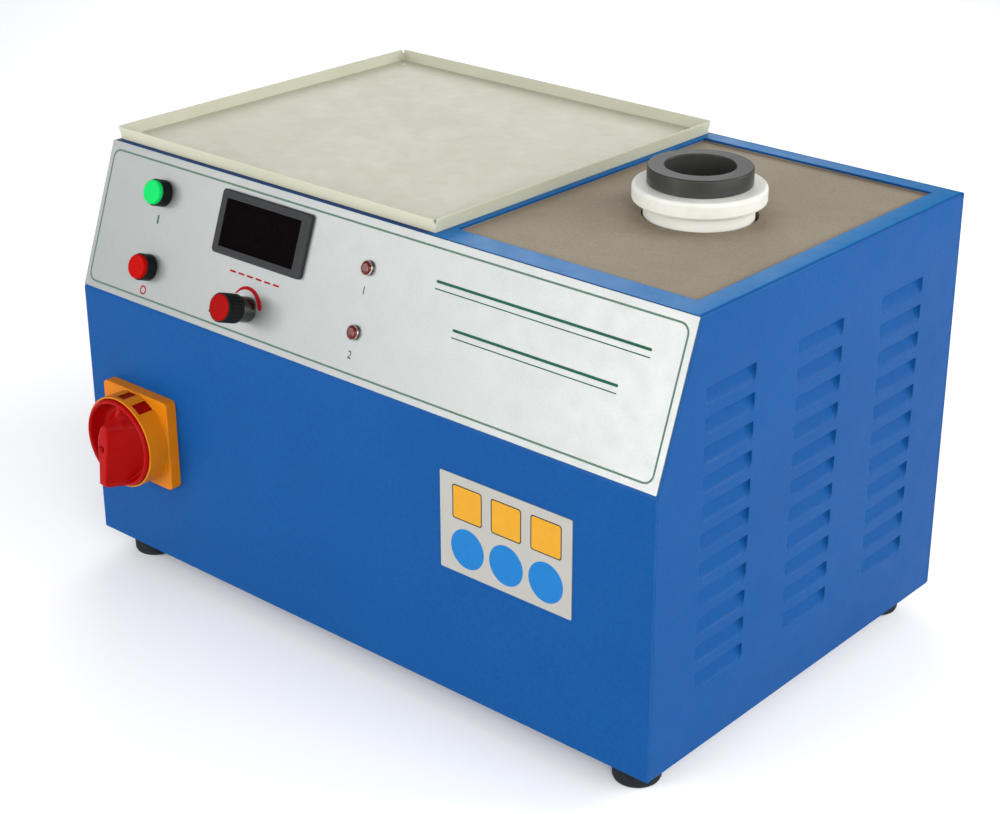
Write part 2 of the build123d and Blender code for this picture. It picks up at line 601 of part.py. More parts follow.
with BuildPart() as switch_body:
    with BuildSketch(FRONT.offset(-T - 0.2)):
        with Locations((SW_X, SW_Z)):
            RectangleRounded(56, 56, 4)
    extrude(amount=-44)
    with BuildSketch(FRONT.offset(-T - 0.2)):
        with Locations((SW_X, SW_Z)):
            Circle(4.05)
            with GridLocations(30, 30, 2, 2):
                Circle(2.05)
    extrude(amount=-14, mode=Mode.SUBTRACT)
    with BuildSketch(FRONT.offset(-T - 44.2)):
        with Locations((SW_X, SW_Z - 22), (SW_X, SW_Z + 22)):
            with GridLocations(14, 1, 4, 1):
                Circle(2.4)
    extrude(amount=5, mode=Mode.SUBTRACT)
switch_body.part.label = "switch_body"
export_step(switch_body.part, "parts/switch_body.step")

# ================================================================= buttons
BTN_RO, BTN_RI, CAP_R, BTN_H, CAP_H = 8.85, 8.3, 8.05, 7.8, 10.8

with BuildPart() as button_bezels:
    with BuildSketch(PANEL):
        with Locations((BTN_X, BTN_S1), (BTN_X, BTN_S2)):
            Circle(BTN_RO)
    extrude(amount=BTN_H)
    fillet(button_bezels.faces().group_by(Axis(PANEL.origin, PANEL.z_dir))[-1].edges(), 0.25)
    with BuildSketch(PANEL):
        with Locations((BTN_X, BTN_S1), (BTN_X, BTN_S2)):
            Circle(6.1)
    extrude(amount=-26)
    with BuildSketch(PANEL.offset(BTN_H)):
        with Locations((BTN_X, BTN_S1), (BTN_X, BTN_S2)):
            Circle(BTN_RI)
    extrude(amount=-BTN_H + 1.6, mode=Mode.SUBTRACT)
    with BuildSketch(PANEL.offset(BTN_H)):
        with Locations((BTN_X, BTN_S1), (BTN_X, BTN_S2)):
            Circle(4.4)
    extrude(amount=-BTN_H - 20, mode=Mode.SUBTRACT)
button_bezels.part.label = "button_bezels"
export_step(button_bezels.part, "parts/button_bezels.step")

with BuildPart() as start_button_cap:
    with BuildSketch(PANEL.offset(5.4)):
        with Locations((BTN_X, BTN_S1)):
            Circle(CAP_R)
    extrude(amount=CAP_H - 5.4)
    fillet(start_button_cap.faces().sort_by(Axis(PANEL.origin, PANEL.z_dir))[-1].edges(), 1.3)
    with BuildSketch(PANEL.offset(5.4)):
        with Locations((BTN_X, BTN_S1)):
            Circle(4.0)
    extrude(amount=-16)
start_button_cap.part.label = "start_button_cap"
export_step(start_button_cap.part, "parts/start_button_cap.step")

with BuildPart() as stop_button_cap:
    with BuildSketch(PANEL.offset(5.4)):
        with Locations((BTN_X, BTN_S2)):
            Circle(CAP_R)
    extrude(amount=CAP_H - 5.4)
    fillet(stop_button_cap.faces().sort_by(Axis(PANEL.origin, PANEL.z_dir))[-1].edges(), 1.3)
    with BuildSketch(PANEL.offset(5.4)):
        with Locations((BTN_X, BTN_S2)):
            Circle(4.0)
    extrude(amount=-16)
stop_button_cap.part.label = "stop_button_cap"
export_step(stop_button_cap.part, "parts/stop_button_cap.step")

with BuildPart() as contact_blocks:
    with BuildSketch(PANEL.offset(-26.2)):
        with Locations((BTN_X, BTN_S1), (BTN_X, BTN_S2)):
            RectangleRounded(18, 16, 1.5)
    extrude(amount=-16)
    with BuildSketch(PANEL.offset(-42.2)):
        with Locations((BTN_X, BTN_S1), (BTN_X, BTN_S2)):
            with GridLocations(9, 7, 2, 2):
                Rectangle(2.4, 0.8)
    extrude(amount=-6)
contact_blocks.part.label = "contact_blocks"
export_step(contact_blocks.part, "parts/contact_blocks.step")

# ==================================================================== knob
KNOB_R, KNOB_H0, KNOB_H1, NIB = 9.4, 10.4, 23.4, 205
with BuildPart() as knob:
    with BuildSketch(PANEL.offset(KNOB_H0)):
        with Locations((KNOB_X, KNOB_S)):
            Circle(KNOB_R)
    extrude(amount=KNOB_H1 - KNOB_H0)
    fillet(knob.faces().sort_by(Axis(PANEL.origin, PANEL.z_dir))[-1].edges(), 0.6)
    fillet(knob.faces().sort_by(Axis(PANEL.origin, PANEL.z_dir))[0].edges(), 0.5)
    with BuildSketch(PANEL.offset(KNOB_H0 + 1.8)):
        with Locations((KNOB_X, KNOB_S)):
            with PolarLocations(KNOB_R + 0.4, 24):
                Circle(0.75)
    extrude(amount=14, mode=Mode.SUBTRACT)
    with BuildSketch(PANEL.offset(KNOB_H1)):
        with Locations((KNOB_X, KNOB_S)):
            Circle(8.45)
    extrude(amount=-1.2, mode=Mode.SUBTRACT)
    with BuildSketch(PANEL.offset(KNOB_H0)):
        with Locations((KNOB_X, KNOB_S)):
            Circle(3.0)
    extrude(amount=10.6, mode=Mode.SUBTRACT)
    # pointer nib on the rim
    a = math.radians(NIB)
    with BuildSketch(PANEL.offset(16.0)):
        with Locations(Location((KNOB_X + 9.3 * math.cos(a), KNOB_S + 9.3 * math.sin(a)), NIB)):
            Rectangle(2.2, 1.5)
    extrude(amount=6.8)
    with BuildSketch(PANEL.offset(KNOB_H1)):
        with Locations((KNOB_X, KNOB_S)):
            Circle(8.45)
    extrude(amount=-1.2, mode=Mode.SUBTRACT)
knob.part.label = "knob"
export_step(knob.part, "parts/knob.step")

with BuildPart() as knob_cap:
    with BuildSketch(PANEL.offset(KNOB_H1 - 1.2)):
        with Locations((KNOB_X, KNOB_S)):
            Circle(8.4)
    extrude(amount=2.0)
    fillet(knob_cap.faces().sort_by(Axis(PANEL.origin, PANEL.z_dir))[-1].edges(), 0.6)
knob_cap.part.label = "knob_cap"
export_step(knob_cap.part, "parts/knob_cap.step")

with BuildPart() as pot_shaft:
    with BuildSketch(PANEL.offset(KNOB_H0 + 10.5)):
        with Locations((KNOB_X, KNOB_S)):
            Circle(2.98)
    extrude(amount=-(KNOB_H0 + 20.0))
pot_shaft.part.label = "pot_shaft"
export_step(pot_shaft.part, "parts/pot_shaft.step")

with BuildPart() as potentiometer:
    with BuildSketch(PANEL.offset(-FP - T - 0.1)):
        with Locations((KNOB_X, KNOB_S)):
            Circle(12.0)
    extrude(amount=-10)
    with BuildSketch(PANEL.offset(-FP - T - 0.1)):
        with Locations((KNOB_X, KNOB_S)):
            Circle(3.85)
    extrude(amount=9.0)
    with BuildSketch(PANEL.offset(-FP - T - 1.5)):
        with Locations((KNOB_X, KNOB_S - 14)):
            with GridLocations(5, 1, 3, 1):
                Rectangle(1.6, 9)
    extrude(amount=-1.0)
    with BuildSketch(PANEL.offset(10)):
        with Locations((KNOB_X, KNOB_S)):
            Circle(3.04)
    extrude(amount=-19.9, mode=Mode.SUBTRACT)
potentiometer.part.label = "potentiometer"
export_step(potentiometer.part, "parts/potentiometer.step")

# bush under the knob, screwed on the potentiometer's neck
with BuildPart() as pot_nut:
    with BuildSketch(PANEL):
        with Locations((KNOB_X, KNOB_S)):
            Circle(8.3)
    extrude(amount=9.8)
    fillet(pot_nut.faces().sort_by(Axis(PANEL.origin, PANEL.z_dir))[-1].edges(), 0.6)
    with BuildSketch(PANEL):
        with Locations((KNOB_X, KNOB_S)):
            Circle(4.0)
    extrude(amount=9.8, mode=Mode.SUBTRACT)
pot_nut.part.label = "pot_nut"
export_step(pot_nut.part, "parts/pot_nut.step")

# =================================================================== meter
with BuildPart() as meter_bezel:
    with BuildSketch(PANEL):
        with Locations((METER_X, METER_S)):
            RectangleRounded(METER_W, METER_H, 2.6)
    extrude(amount=3.4)
    chamfer(meter_bezel.faces().sort_by(Axis(PANEL.origin, PANEL.z_dir))[-1].edges(), 1.0)
    with BuildSketch(PANEL):
        with Locations((PANE_X, PANE_S)):
            Rectangle(PANE_W + 0.2, PANE_H + 0.2)
    extrude(amount=3.4, mode=Mode.SUBTRACT)
meter_bezel.part.label = "meter_bezel"
export_step(meter_bezel.part, "parts/meter_bezel.step")

with BuildPart() as meter_window:
    with BuildSketch(PANEL.offset(0.05)):
        with Locations((PANE_X, PANE_S)):
            Rectangle(PANE_W, PANE_H)
    extrude(amount=2.85)
    chamfer(meter_window.faces().sort_by(Axis(PANEL.origin, PANEL.z_dir))[-1].edges(), 0.35)
meter_window.part.label = "meter_window"
export_step(meter_window.part, "parts/meter_window.step")

with BuildPart() as meter_body:
    with BuildSketch(PANEL):
        with Locations((METER_X, METER_S)):
            Rectangle(75.0, 37.0)
            Rectangle(62.0, 26.0, mode=Mode.SUBTRACT)
    extrude(amount=-1.1)
    with BuildSketch(PANEL.offset(-1.1)):
        with Locations((METER_X, METER_S)):
            Rectangle(75.0, 37.0)
    extrude(amount=-58)
    with BuildSketch(PANEL.offset(-59.1)):
        with Locations((METER_X, METER_S - 12)):
            Rectangle(50, 8)
    extrude(amount=-8)
meter_body.part.label = "meter_body"
export_step(meter_body.part, "parts/meter_body.step")

# =================================================================== lamps
with BuildPart() as lamp_bezels:
    with BuildSketch(PANEL):
        with Locations((LAMP_X, LAMP_S1), (LAMP_X, LAMP_S2)):
            Circle(4.8)
    extrude(amount=2.3)
    chamfer(lamp_bezels.faces().group_by(Axis(PANEL.origin, PANEL.z_dir))[-1].edges(), 0.3)
    with BuildSketch(PANEL):
        with Locations((LAMP_X, LAMP_S1), (LAMP_X, LAMP_S2)):
            Circle(3.5)
    extrude(amount=-12)
    with BuildSketch(PANEL.offset(0.8)):
        with Locations((LAMP_X, LAMP_S1), (LAMP_X, LAMP_S2)):
            Circle(4.2)
    extrude(amount=3, mode=Mode.SUBTRACT)
    with BuildSketch(PANEL.offset(4)):
        with Locations((LAMP_X, LAMP_S1), (LAMP_X, LAMP_S2)):
            Circle(2.6)
    extrude(amount=-20, mode=Mode.SUBTRACT)
lamp_bezels.part.label = "lamp_bezels"
export_step(lamp_bezels.part, "parts/lamp_bezels.step")

with BuildPart() as lamp_lenses:
    with BuildSketch(PANEL.offset(0.85)):
        with Locations((LAMP_X, LAMP_S1), (LAMP_X, LAMP_S2)):
            Circle(4.15)
    extrude(amount=2.75)
    fillet(lamp_lenses.faces().group_by(Axis(PANEL.origin, PANEL.z_dir))[-1].edges(), 2.0)
    with BuildSketch(PANEL.offset(0.85)):
        with Locations((LAMP_X, LAMP_S1), (LAMP_X, LAMP_S2)):
            Circle(2.5)
    extrude(amount=-3.0)
lamp_lenses.part.label = "lamp_lenses"
export_step(lamp_lenses.part, "parts/lamp_lenses.step")

# control board behind the lamps, on pillars off the leaning sheet
CB_X, CB_S = 262.0, 50.0
with BuildPart() as control_board:
    with BuildSketch(PANEL.offset(-32.0)):
        with Locations((CB_X, CB_S)):
            RectangleRounded(110, 76, 2)
    extrude(amount=-1.6)
    with BuildSketch(PANEL.offset(-33.6)):
        with Locations((CB_X - 34, CB_S + 20), (CB_X + 30, CB_S - 18)):
            Rectangle(22, 16)
        with Locations((CB_X, CB_S)):
            Rectangle(36, 12)
        with Locations((CB_X + 34, CB_S + 22)):
            Circle(7)
    extrude(amount=-9)
control_board.part.label = "control_board"
export_step(control_board.part, "parts/control_board.step")

with BuildPart() as board_pillars:
    with BuildSketch(PANEL.offset(-FP - T)):
        with Locations((CB_X, CB_S)):
            with GridLocations(100, 66, 2, 2):
                RegularPolygon(3.2, 6)
    extrude(amount=-(32.0 - FP - T))
board_pillars.part.label = "board_pillars"
export_step(board_pillars.part, "parts/board_pillars.step")

# ============================================================= power stage
CP_T = 20.0                            # water-cooled plate on the pan
CP_Z, CP_TOP = T + CP_T / 2, T + CP_T
with BuildPart() as cold_plate:
    with BuildSketch(BODY.offset(T)):
        with Locations((170, 115)):
            RectangleRounded(160, 110, 3)
    extrude(amount=20)
    with BuildSketch(SIDE.offset(250)):
        with Locations((90, CP_Z), (140, CP_Z)):
            Circle(5.0)
    extrude(amount=14)
cold_plate.part.label = "cold_plate"
export_step(cold_plate.part, "parts/cold_plate.step")

with BuildPart() as igbt_modules:
    with BuildSketch(BODY.offset(CP_TOP)):
        with Locations((125, 115), (169, 115)):
            RectangleRounded(34, 94, 2)
    extrude(amount=24)
    with BuildSketch(BODY.offset(CP_TOP + 24)):
        with Locations((125, 115), (169, 115)):
            with GridLocations(1, 26, 1, 3):
                Rectangle(16, 14)
    extrude(amount=6)
igbt_modules.part.label = "igbt_modules"
export_step(igbt_modules.part, "parts/igbt_modules.step")

with BuildPart() as rectifier_bridge:
    with BuildSketch(BODY.offset(CP_TOP)):
        with Locations((215, 95)):
            RectangleRounded(34, 58, 2)
    extrude(amount=20)
    with BuildSketch(BODY.offset(CP_TOP + 20)):
        with Locations((215, 95)):
            with GridLocations(1, 14, 1, 4):
                Circle(4)
    extrude(amount=4)
rectifier_bridge.part.label = "rectifier_bridge"
export_step(rectifier_bridge.part, "parts/rectifier_bridge.step")

with BuildPart() as thermal_switch:
    with BuildSketch(BODY.offset(CP_TOP)):
        with Locations((215, 148)):
            Circle(8)
            Rectangle(24, 7)
    extrude(amount=1.2)
    with BuildSketch(BODY.offset(CP_TOP + 1.2)):
        with Locations((215, 148)):
            Circle(8)
    extrude(amount=8)
thermal_switch.part.label = "thermal_switch"
export_step(thermal_switch.part, "parts/thermal_switch.step")

with BuildPart() as driver_board:
    with BuildSketch(BODY.offset(CP_TOP + 30)):
        with Locations((170, 115)):
            RectangleRounded(156, 106, 2)
    extrude(amount=1.6)
    with BuildSketch(BODY.offset(CP_TOP + 31.6)):
        with Locations((125, 100), (169, 100)):
            Rectangle(22, 18)
        with Locations((220, 90), (220, 115)):
            Circle(8)
        with Locations((145, 145)):
            Rectangle(60, 10)
    extrude(amount=14)
    with BuildSketch(BODY.offset(CP_TOP + 30)):
        with Locations((125, 115), (169, 115)):
            with GridLocations(1, 26, 1, 3):
                Circle(2.6)
    extrude(amount=1.6, mode=Mode.SUBTRACT)
driver_board.part.label = "driver_board"
export_step(driver_board.part, "parts/driver_board.step")

with BuildPart() as dc_capacitors:
    with BuildSketch(BODY.offset(T)):
        with Locations((115, 220), (175, 220)):
            Circle(25)
    extrude(amount=72)
    fillet(dc_capacitors.edges().group_by(Axis.Z)[-1], 2.0)
    with BuildSketch(BODY.offset(T + 72)):
        with Locations((115, 220), (175, 220)):
            with GridLocations(22, 1, 2, 1):
                Circle(4)
    extrude(amount=4)
dc_capacitors.part.label = "dc_capacitors"
export_step(dc_capacitors.part, "parts/dc_capacitors.step")

with BuildPart() as contactor:
    with BuildSketch(BODY.offset(T)):
        with Locations((42.5, 118)):
            RectangleRounded(45, 74, 2)
    extrude(amount=50)
    with BuildSketch(BODY.offset(T + 50)):
        with Locations((42.5, 118)):
            RectangleRounded(43, 44, 2)
    extrude(amount=26)
    with BuildSketch(BODY.offset(T + 50)):
        with Locations((42.5, 118)):
            with GridLocations(13, 60, 3, 2):
                Circle(3.2)
    extrude(amount=-6, mode=Mode.SUBTRACT)
contactor.part.label = "contactor"
export_step(contactor.part, "parts/contactor.step")

with BuildPart() as terminal_block:
    for k in range(6):
        with BuildSketch(FRONT.offset(-(172 + k * 10))):
            with BuildLine():
                Polyline((22, T), (22, 20), (30, 38), (55, 38), (63, 20), (63, T), close=True)
            make_face()
        extrude(amount=-9.6)
    with BuildSketch(BODY.offset(38)):
        for k in range(6):
            with Locations((36, 176.8 + k * 10), (49, 176.8 + k * 10)):
                Circle(2.4)
    extrude(amount=-5, mode=Mode.SUBTRACT)
terminal_block.part.label = "terminal_block"
export_step(terminal_block.part, "parts/terminal_block.step")

# ================================================================= cooling
with BuildPart() as water_fittings:
    for wx in (WATER_X1, WATER_X2):
        with BuildSketch(FRONT.offset(-D)):
            with Locations((wx, WATER_Z)):
                RegularPolygon(11.0, 6)
        extrude(amount=-8.0)
        with BuildSketch(FRONT.offset(-D - 8.0)):
            with Locations((wx, WATER_Z)):
                Circle(6.0)
        extrude(amount=-(REAR_END - D - 8.0))
        with BuildSketch(FRONT.offset(-D)):
            with Locations((wx, WATER_Z)):
                Circle(7.0)
        extrude(amount=12.0)
        with BuildSketch(FRONT.offset(-D + 12.0)):
            with Locations((wx, WATER_Z)):
                Circle(5.0)
        extrude(amount=14.0)
        with BuildSketch(FRONT.offset(-REAR_END)):
            with Locations((wx, WATER_Z)):
                Circle(3.4)
        extrude(amount=REAR_END - D + 26.0, mode=Mode.SUBTRACT)
water_fittings.part.label = "water_fittings"
export_step(water_fittings.part, "parts/water_fittings.step")

# flow switch that trips when the cooling water fails
with BuildPart() as flow_switch:
    with BuildSketch(FRONT.offset(-D + 26.2)):
        with Locations((WATER_X1, WATER_Z)):
            Circle(9.0)
    extrude(amount=44)
    with BuildSketch(BODY.offset(WATER_Z + 5)):
        with Locations((WATER_X1, 263)):
            RectangleRounded(22, 26, 2)
    extrude(amount=26)
    with BuildSketch(FRONT.offset(-D + 70.2)):
        with Locations((WATER_X1, WATER_Z)):
            Circle(5.0)
    extrude(amount=10)
flow_switch.part.label = "flow_switch"
export_step(flow_switch.part, "parts/flow_switch.step")


def cab(*pts):
    """cabinet coordinates to the part's own."""
    return [(X0 + p[0], Y0 + p[1], Z0 + p[2]) for p in pts]


UP_Z = COIL_Z + COIL_PITCH * COIL_TURNS
HOSES = [
    # flow switch to cold plate
    (cab((WATER_X1, D - 80.4, WATER_Z), (WATER_X1, 204, WATER_Z), (WATER_X1 - 1, 172, 26),
         (286, 142, CP_Z + 1), (276, 140, CP_Z), (264.2, 140, CP_Z)), [10, 12, 5, 4]),
    # cold plate to the coil's lower end
    (cab((264.2, 90, CP_Z), (280, 90, CP_Z), (300, 96, 60), (308, 104, COIL_Z - 20),
         (FX - LUG_X - 36, 106, COIL_Z), (FX - LUG_X - 16.7, 106, COIL_Z)), [10, 30, 24, 10]),
    # coil's upper end back to the outlet
    (cab((FX + LUG_X + 16.7, 106, UP_Z), (FX + LUG_X + 34, 106, UP_Z), (454, 122, UP_Z - 50),
         (458, 200, 110), (442, 262, WATER_Z + 8), (WATER_X2, 271, WATER_Z),
         (WATER_X2, D - 26.2, WATER_Z)), [10, 24, 50, 12, 6]),
]
with BuildPart() as cooling_hoses:
    for pts, radii in HOSES:
        with BuildLine() as hose_path:
            FilletPolyline(*pts, radius=radii)
        with BuildSketch(Plane(origin=hose_path.line @ 0, z_dir=hose_path.line % 0)):
            Circle(6.0)
        sweep(path=hose_path.line)
cooling_hoses.part.label = "cooling_hoses"
export_step(cooling_hoses.part, "parts/cooling_hoses.step")

# fan behind the rear grille
with BuildPart() as fan_frame:
    with BuildSketch(FRONT.offset(-(D - T - 25.2))):
        with Locations((FAN_X, FAN_Z)):
            RectangleRounded(FAN_SIZE, FAN_SIZE, 6)
            Circle(57.0, mode=Mode.SUBTRACT)
            with GridLocations(105, 105, 2, 2):
                Circle(2.2, mode=Mode.SUBTRACT)
    extrude(amount=-25.0)
    with BuildSketch(FRONT.offset(-(D - T - 25.2))):
        with Locations((FAN_X, FAN_Z)):
            Circle(20.0)
            for turn in (45, 135, 225, 315):
                with Locations(Location((0, 0), turn)):
                    Rectangle(60.0, 5.0, align=(Align.MIN, Align.CENTER))
    extrude(amount=-3.5)
    with BuildSketch(FRONT.offset(-(D - T - 21.7))):
        with Locations((FAN_X, FAN_Z)):
            Circle(2.6)
    extrude(amount=-14.0)
fan_frame.part.label = "fan_frame"
export_step(fan_frame.part, "parts/fan_frame.step")

with BuildPart() as fan_rotor:
    with BuildSketch(FRONT.offset(-(D - T - 21.0))):
        with Locations((FAN_X, FAN_Z)):
            Circle(21.0)
    extrude(amount=-18.0)
    fillet(fan_rotor.faces().sort_by(Axis.Y)[-1].edges(), 2.0)
    for k in range(7):
        a = math.radians(k * 360 / 7)
        blade = Plane(origin=(X0 + FAN_X + 19 * math.cos(a), Y0 + D - T - 12.0, Z0 + FAN_Z + 19 * math.sin(a)),
                      x_dir=(-math.sin(a) * 0.78, 0.62, math.cos(a) * 0.78),
                      z_dir=(math.cos(a), 0, math.sin(a)))
        with BuildSketch(blade):
            RectangleRounded(22.0, 1.8, 0.8)
        with BuildSketch(blade.offset(35.0)):
            RectangleRounded(24.0, 1.4, 0.6)
        loft()
    with BuildSketch(FRONT.offset(-(D - T - 21.0))):
        with Locations((FAN_X, FAN_Z)):
            Circle(2.66)
    extrude(amount=-15.0, mode=Mode.SUBTRACT)
fan_rotor.part.label = "fan_rotor"
export_step(fan_rotor.part, "parts/fan_rotor.step")

with BuildPart() as fan_guard:
    with BuildSketch(FRONT.offset(-D - 1.4)):
        for ring in (52.0, 42.0, 32.0, 22.0, 12.0):
            with Locations((FAN_X, FAN_Z)):
                Circle(ring + 1.1)
                Circle(ring - 1.1, mode=Mode.SUBTRACT)
        for turn in (45, 135, 225, 315):
            a = math.radians(turn)
            with Locations(Location((FAN_X + 40.5 * math.cos(a), FAN_Z + 40.5 * math.sin(a)), turn)):
                Rectangle(59.0, 2.4)
            with Locations((FAN_X + 74.25 * math.cos(a), FAN_Z + 74.25 * math.sin(a))):
                Circle(5.6)
                Circle(2.2, mode=Mode.SUBTRACT)
    extrude(amount=-2.0)
fan_guard.part.label = "fan_guard"
export_step(fan_guard.part, "parts/fan_guard.step")

with BuildPart() as fan_screws:
    with BuildSketch(FRONT.offset(-D - 3.4)):
        with Locations((FAN_X, FAN_Z)):
            with GridLocations(105, 105, 2, 2):
                Circle(4.0)
    extrude(amount=-2.6)
    with BuildSketch(FRONT.offset(-D - 3.4)):
        with Locations((FAN_X, FAN_Z)):
            with GridLocations(105, 105, 2, 2):
                Circle(2.0)
    extrude(amount=34.0)
    with BuildSketch(FRONT.offset(-D - 6.0)):
        with Locations((FAN_X, FAN_Z)):
            with GridLocations(105, 105, 2, 2):
                Rectangle(4.6, 0.8)
                Rectangle(0.8, 4.6)
    extrude(amount=1.2, mode=Mode.SUBTRACT)
fan_screws.part.label = "fan_screws"
export_step(fan_screws.part, "parts/fan_screws.step")

# =================================================== supply inlet and earth
with BuildPart() as cable_gland:
    with BuildSketch(FRONT.offset(-D)):
        with Locations((GLAND_X, GLAND_Z)):
            RegularPolygon(13.5, 6)
    extrude(amount=-5.0)
    with BuildSketch(FRONT.offset(-D - 5.0)):
        with Locations((GLAND_X, GLAND_Z)):
            Circle(11.0)
    extrude(amount=-13.0)
    fillet(cable_gland.faces().sort_by(Axis.Y)[-1].edges(), 3.0)
    with BuildSketch(FRONT.offset(-D)):
        with Locations((GLAND_X, GLAND_Z)):
            Circle(10.0)
    extrude(amount=11.0)
    with BuildSketch(FRONT.offset(-D - 18.0)):
        with Locations((GLAND_X, GLAND_Z)):
            Circle(6.0)
    extrude(amount=29.0, mode=Mode.SUBTRACT)
cable_gland.part.label = "cable_gland"
export_step(cable_gland.part, "parts/cable_gland.step")

with BuildPart() as earth_stud:
    with BuildSketch(FRONT.offset(-D - 18.0)):
        with Locations((EARTH_X, EARTH_Z)):
            Circle(3.0)
    extrude(amount=30.0)
    with BuildSketch(FRONT.offset(-D + T + 0.1)):
        with Locations((EARTH_X, EARTH_Z)):
            RegularPolygon(5.5, 6)
    extrude(amount=4.0)
    with BuildSketch(FRONT.offset(-D)):
        with Locations((EARTH_X, EARTH_Z)):
            Circle(6.0)
    extrude(amount=-1.0)
earth_stud.part.label = "earth_stud"
export_step(earth_stud.part, "parts/earth_stud.step")
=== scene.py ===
import bpy
import bmesh
import math
from mathutils import Vector, Matrix


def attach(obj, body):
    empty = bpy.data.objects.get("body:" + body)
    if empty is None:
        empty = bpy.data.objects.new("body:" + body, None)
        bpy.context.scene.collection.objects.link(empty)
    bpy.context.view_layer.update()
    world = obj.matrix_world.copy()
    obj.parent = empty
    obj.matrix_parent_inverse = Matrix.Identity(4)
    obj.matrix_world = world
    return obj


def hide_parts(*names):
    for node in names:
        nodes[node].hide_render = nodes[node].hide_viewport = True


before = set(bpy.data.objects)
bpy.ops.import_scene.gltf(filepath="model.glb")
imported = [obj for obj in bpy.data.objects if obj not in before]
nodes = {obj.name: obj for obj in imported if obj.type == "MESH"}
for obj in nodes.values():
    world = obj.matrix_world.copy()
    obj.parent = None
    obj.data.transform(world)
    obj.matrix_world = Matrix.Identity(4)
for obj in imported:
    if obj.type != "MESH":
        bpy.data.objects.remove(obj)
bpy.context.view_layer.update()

# ------------------------------------------------------------------ places
# millimetres from the cabinet's lower left front corner, turned into the frame
W, D, H, BEND_Z = 485.0, 311.5, 276.8, 183.5
LEAN = math.atan2(34.0, H - BEND_Z)
SN, CS = math.sin(LEAN), math.cos(LEAN)
SW_X, SW_Z = 54.4, 90.2
KNOB_X, KNOB_S = 155.2, 20.6
METER_X, METER_S = 155.1, 69.6
FX, FY = 379.5, 176.2
FAN_X, FAN_Z = 150.0, 140.0


def P(x, y, z):
    return Vector(((x - 242.5) / 1000, (y - 150.5) / 1000, (z + 18) / 1000))


def plane(origin, x, y, z):
    m = Matrix((x, y, z)).transposed().to_4x4()
    return Matrix.Translation(origin) @ m @ Matrix.Scale(0.001, 4)


BODY = plane(P(0, 0, 0), (1, 0, 0), (0, 1, 0), (0, 0, 1))
FRONT = plane(P(0, 0, 0), (1, 0, 0), (0, 0, 1), (0, -1, 0))
PANEL = plane(P(0, 0, BEND_Z), (1, 0, 0), (0, SN, CS), (0, -CS, SN))
REAR = plane(P(0, D, 0), (-1, 0, 0), (0, 0, 1), (0, 1, 0))


# --------------------------------------------------------------- materials
def lin(r, g, b):
    return tuple((c / 255 / 12.92 if c / 255 <= 0.04045 else ((c / 255 + 0.055) / 1.055) ** 2.4)
                 for c in (r, g, b)) + (1.0,)


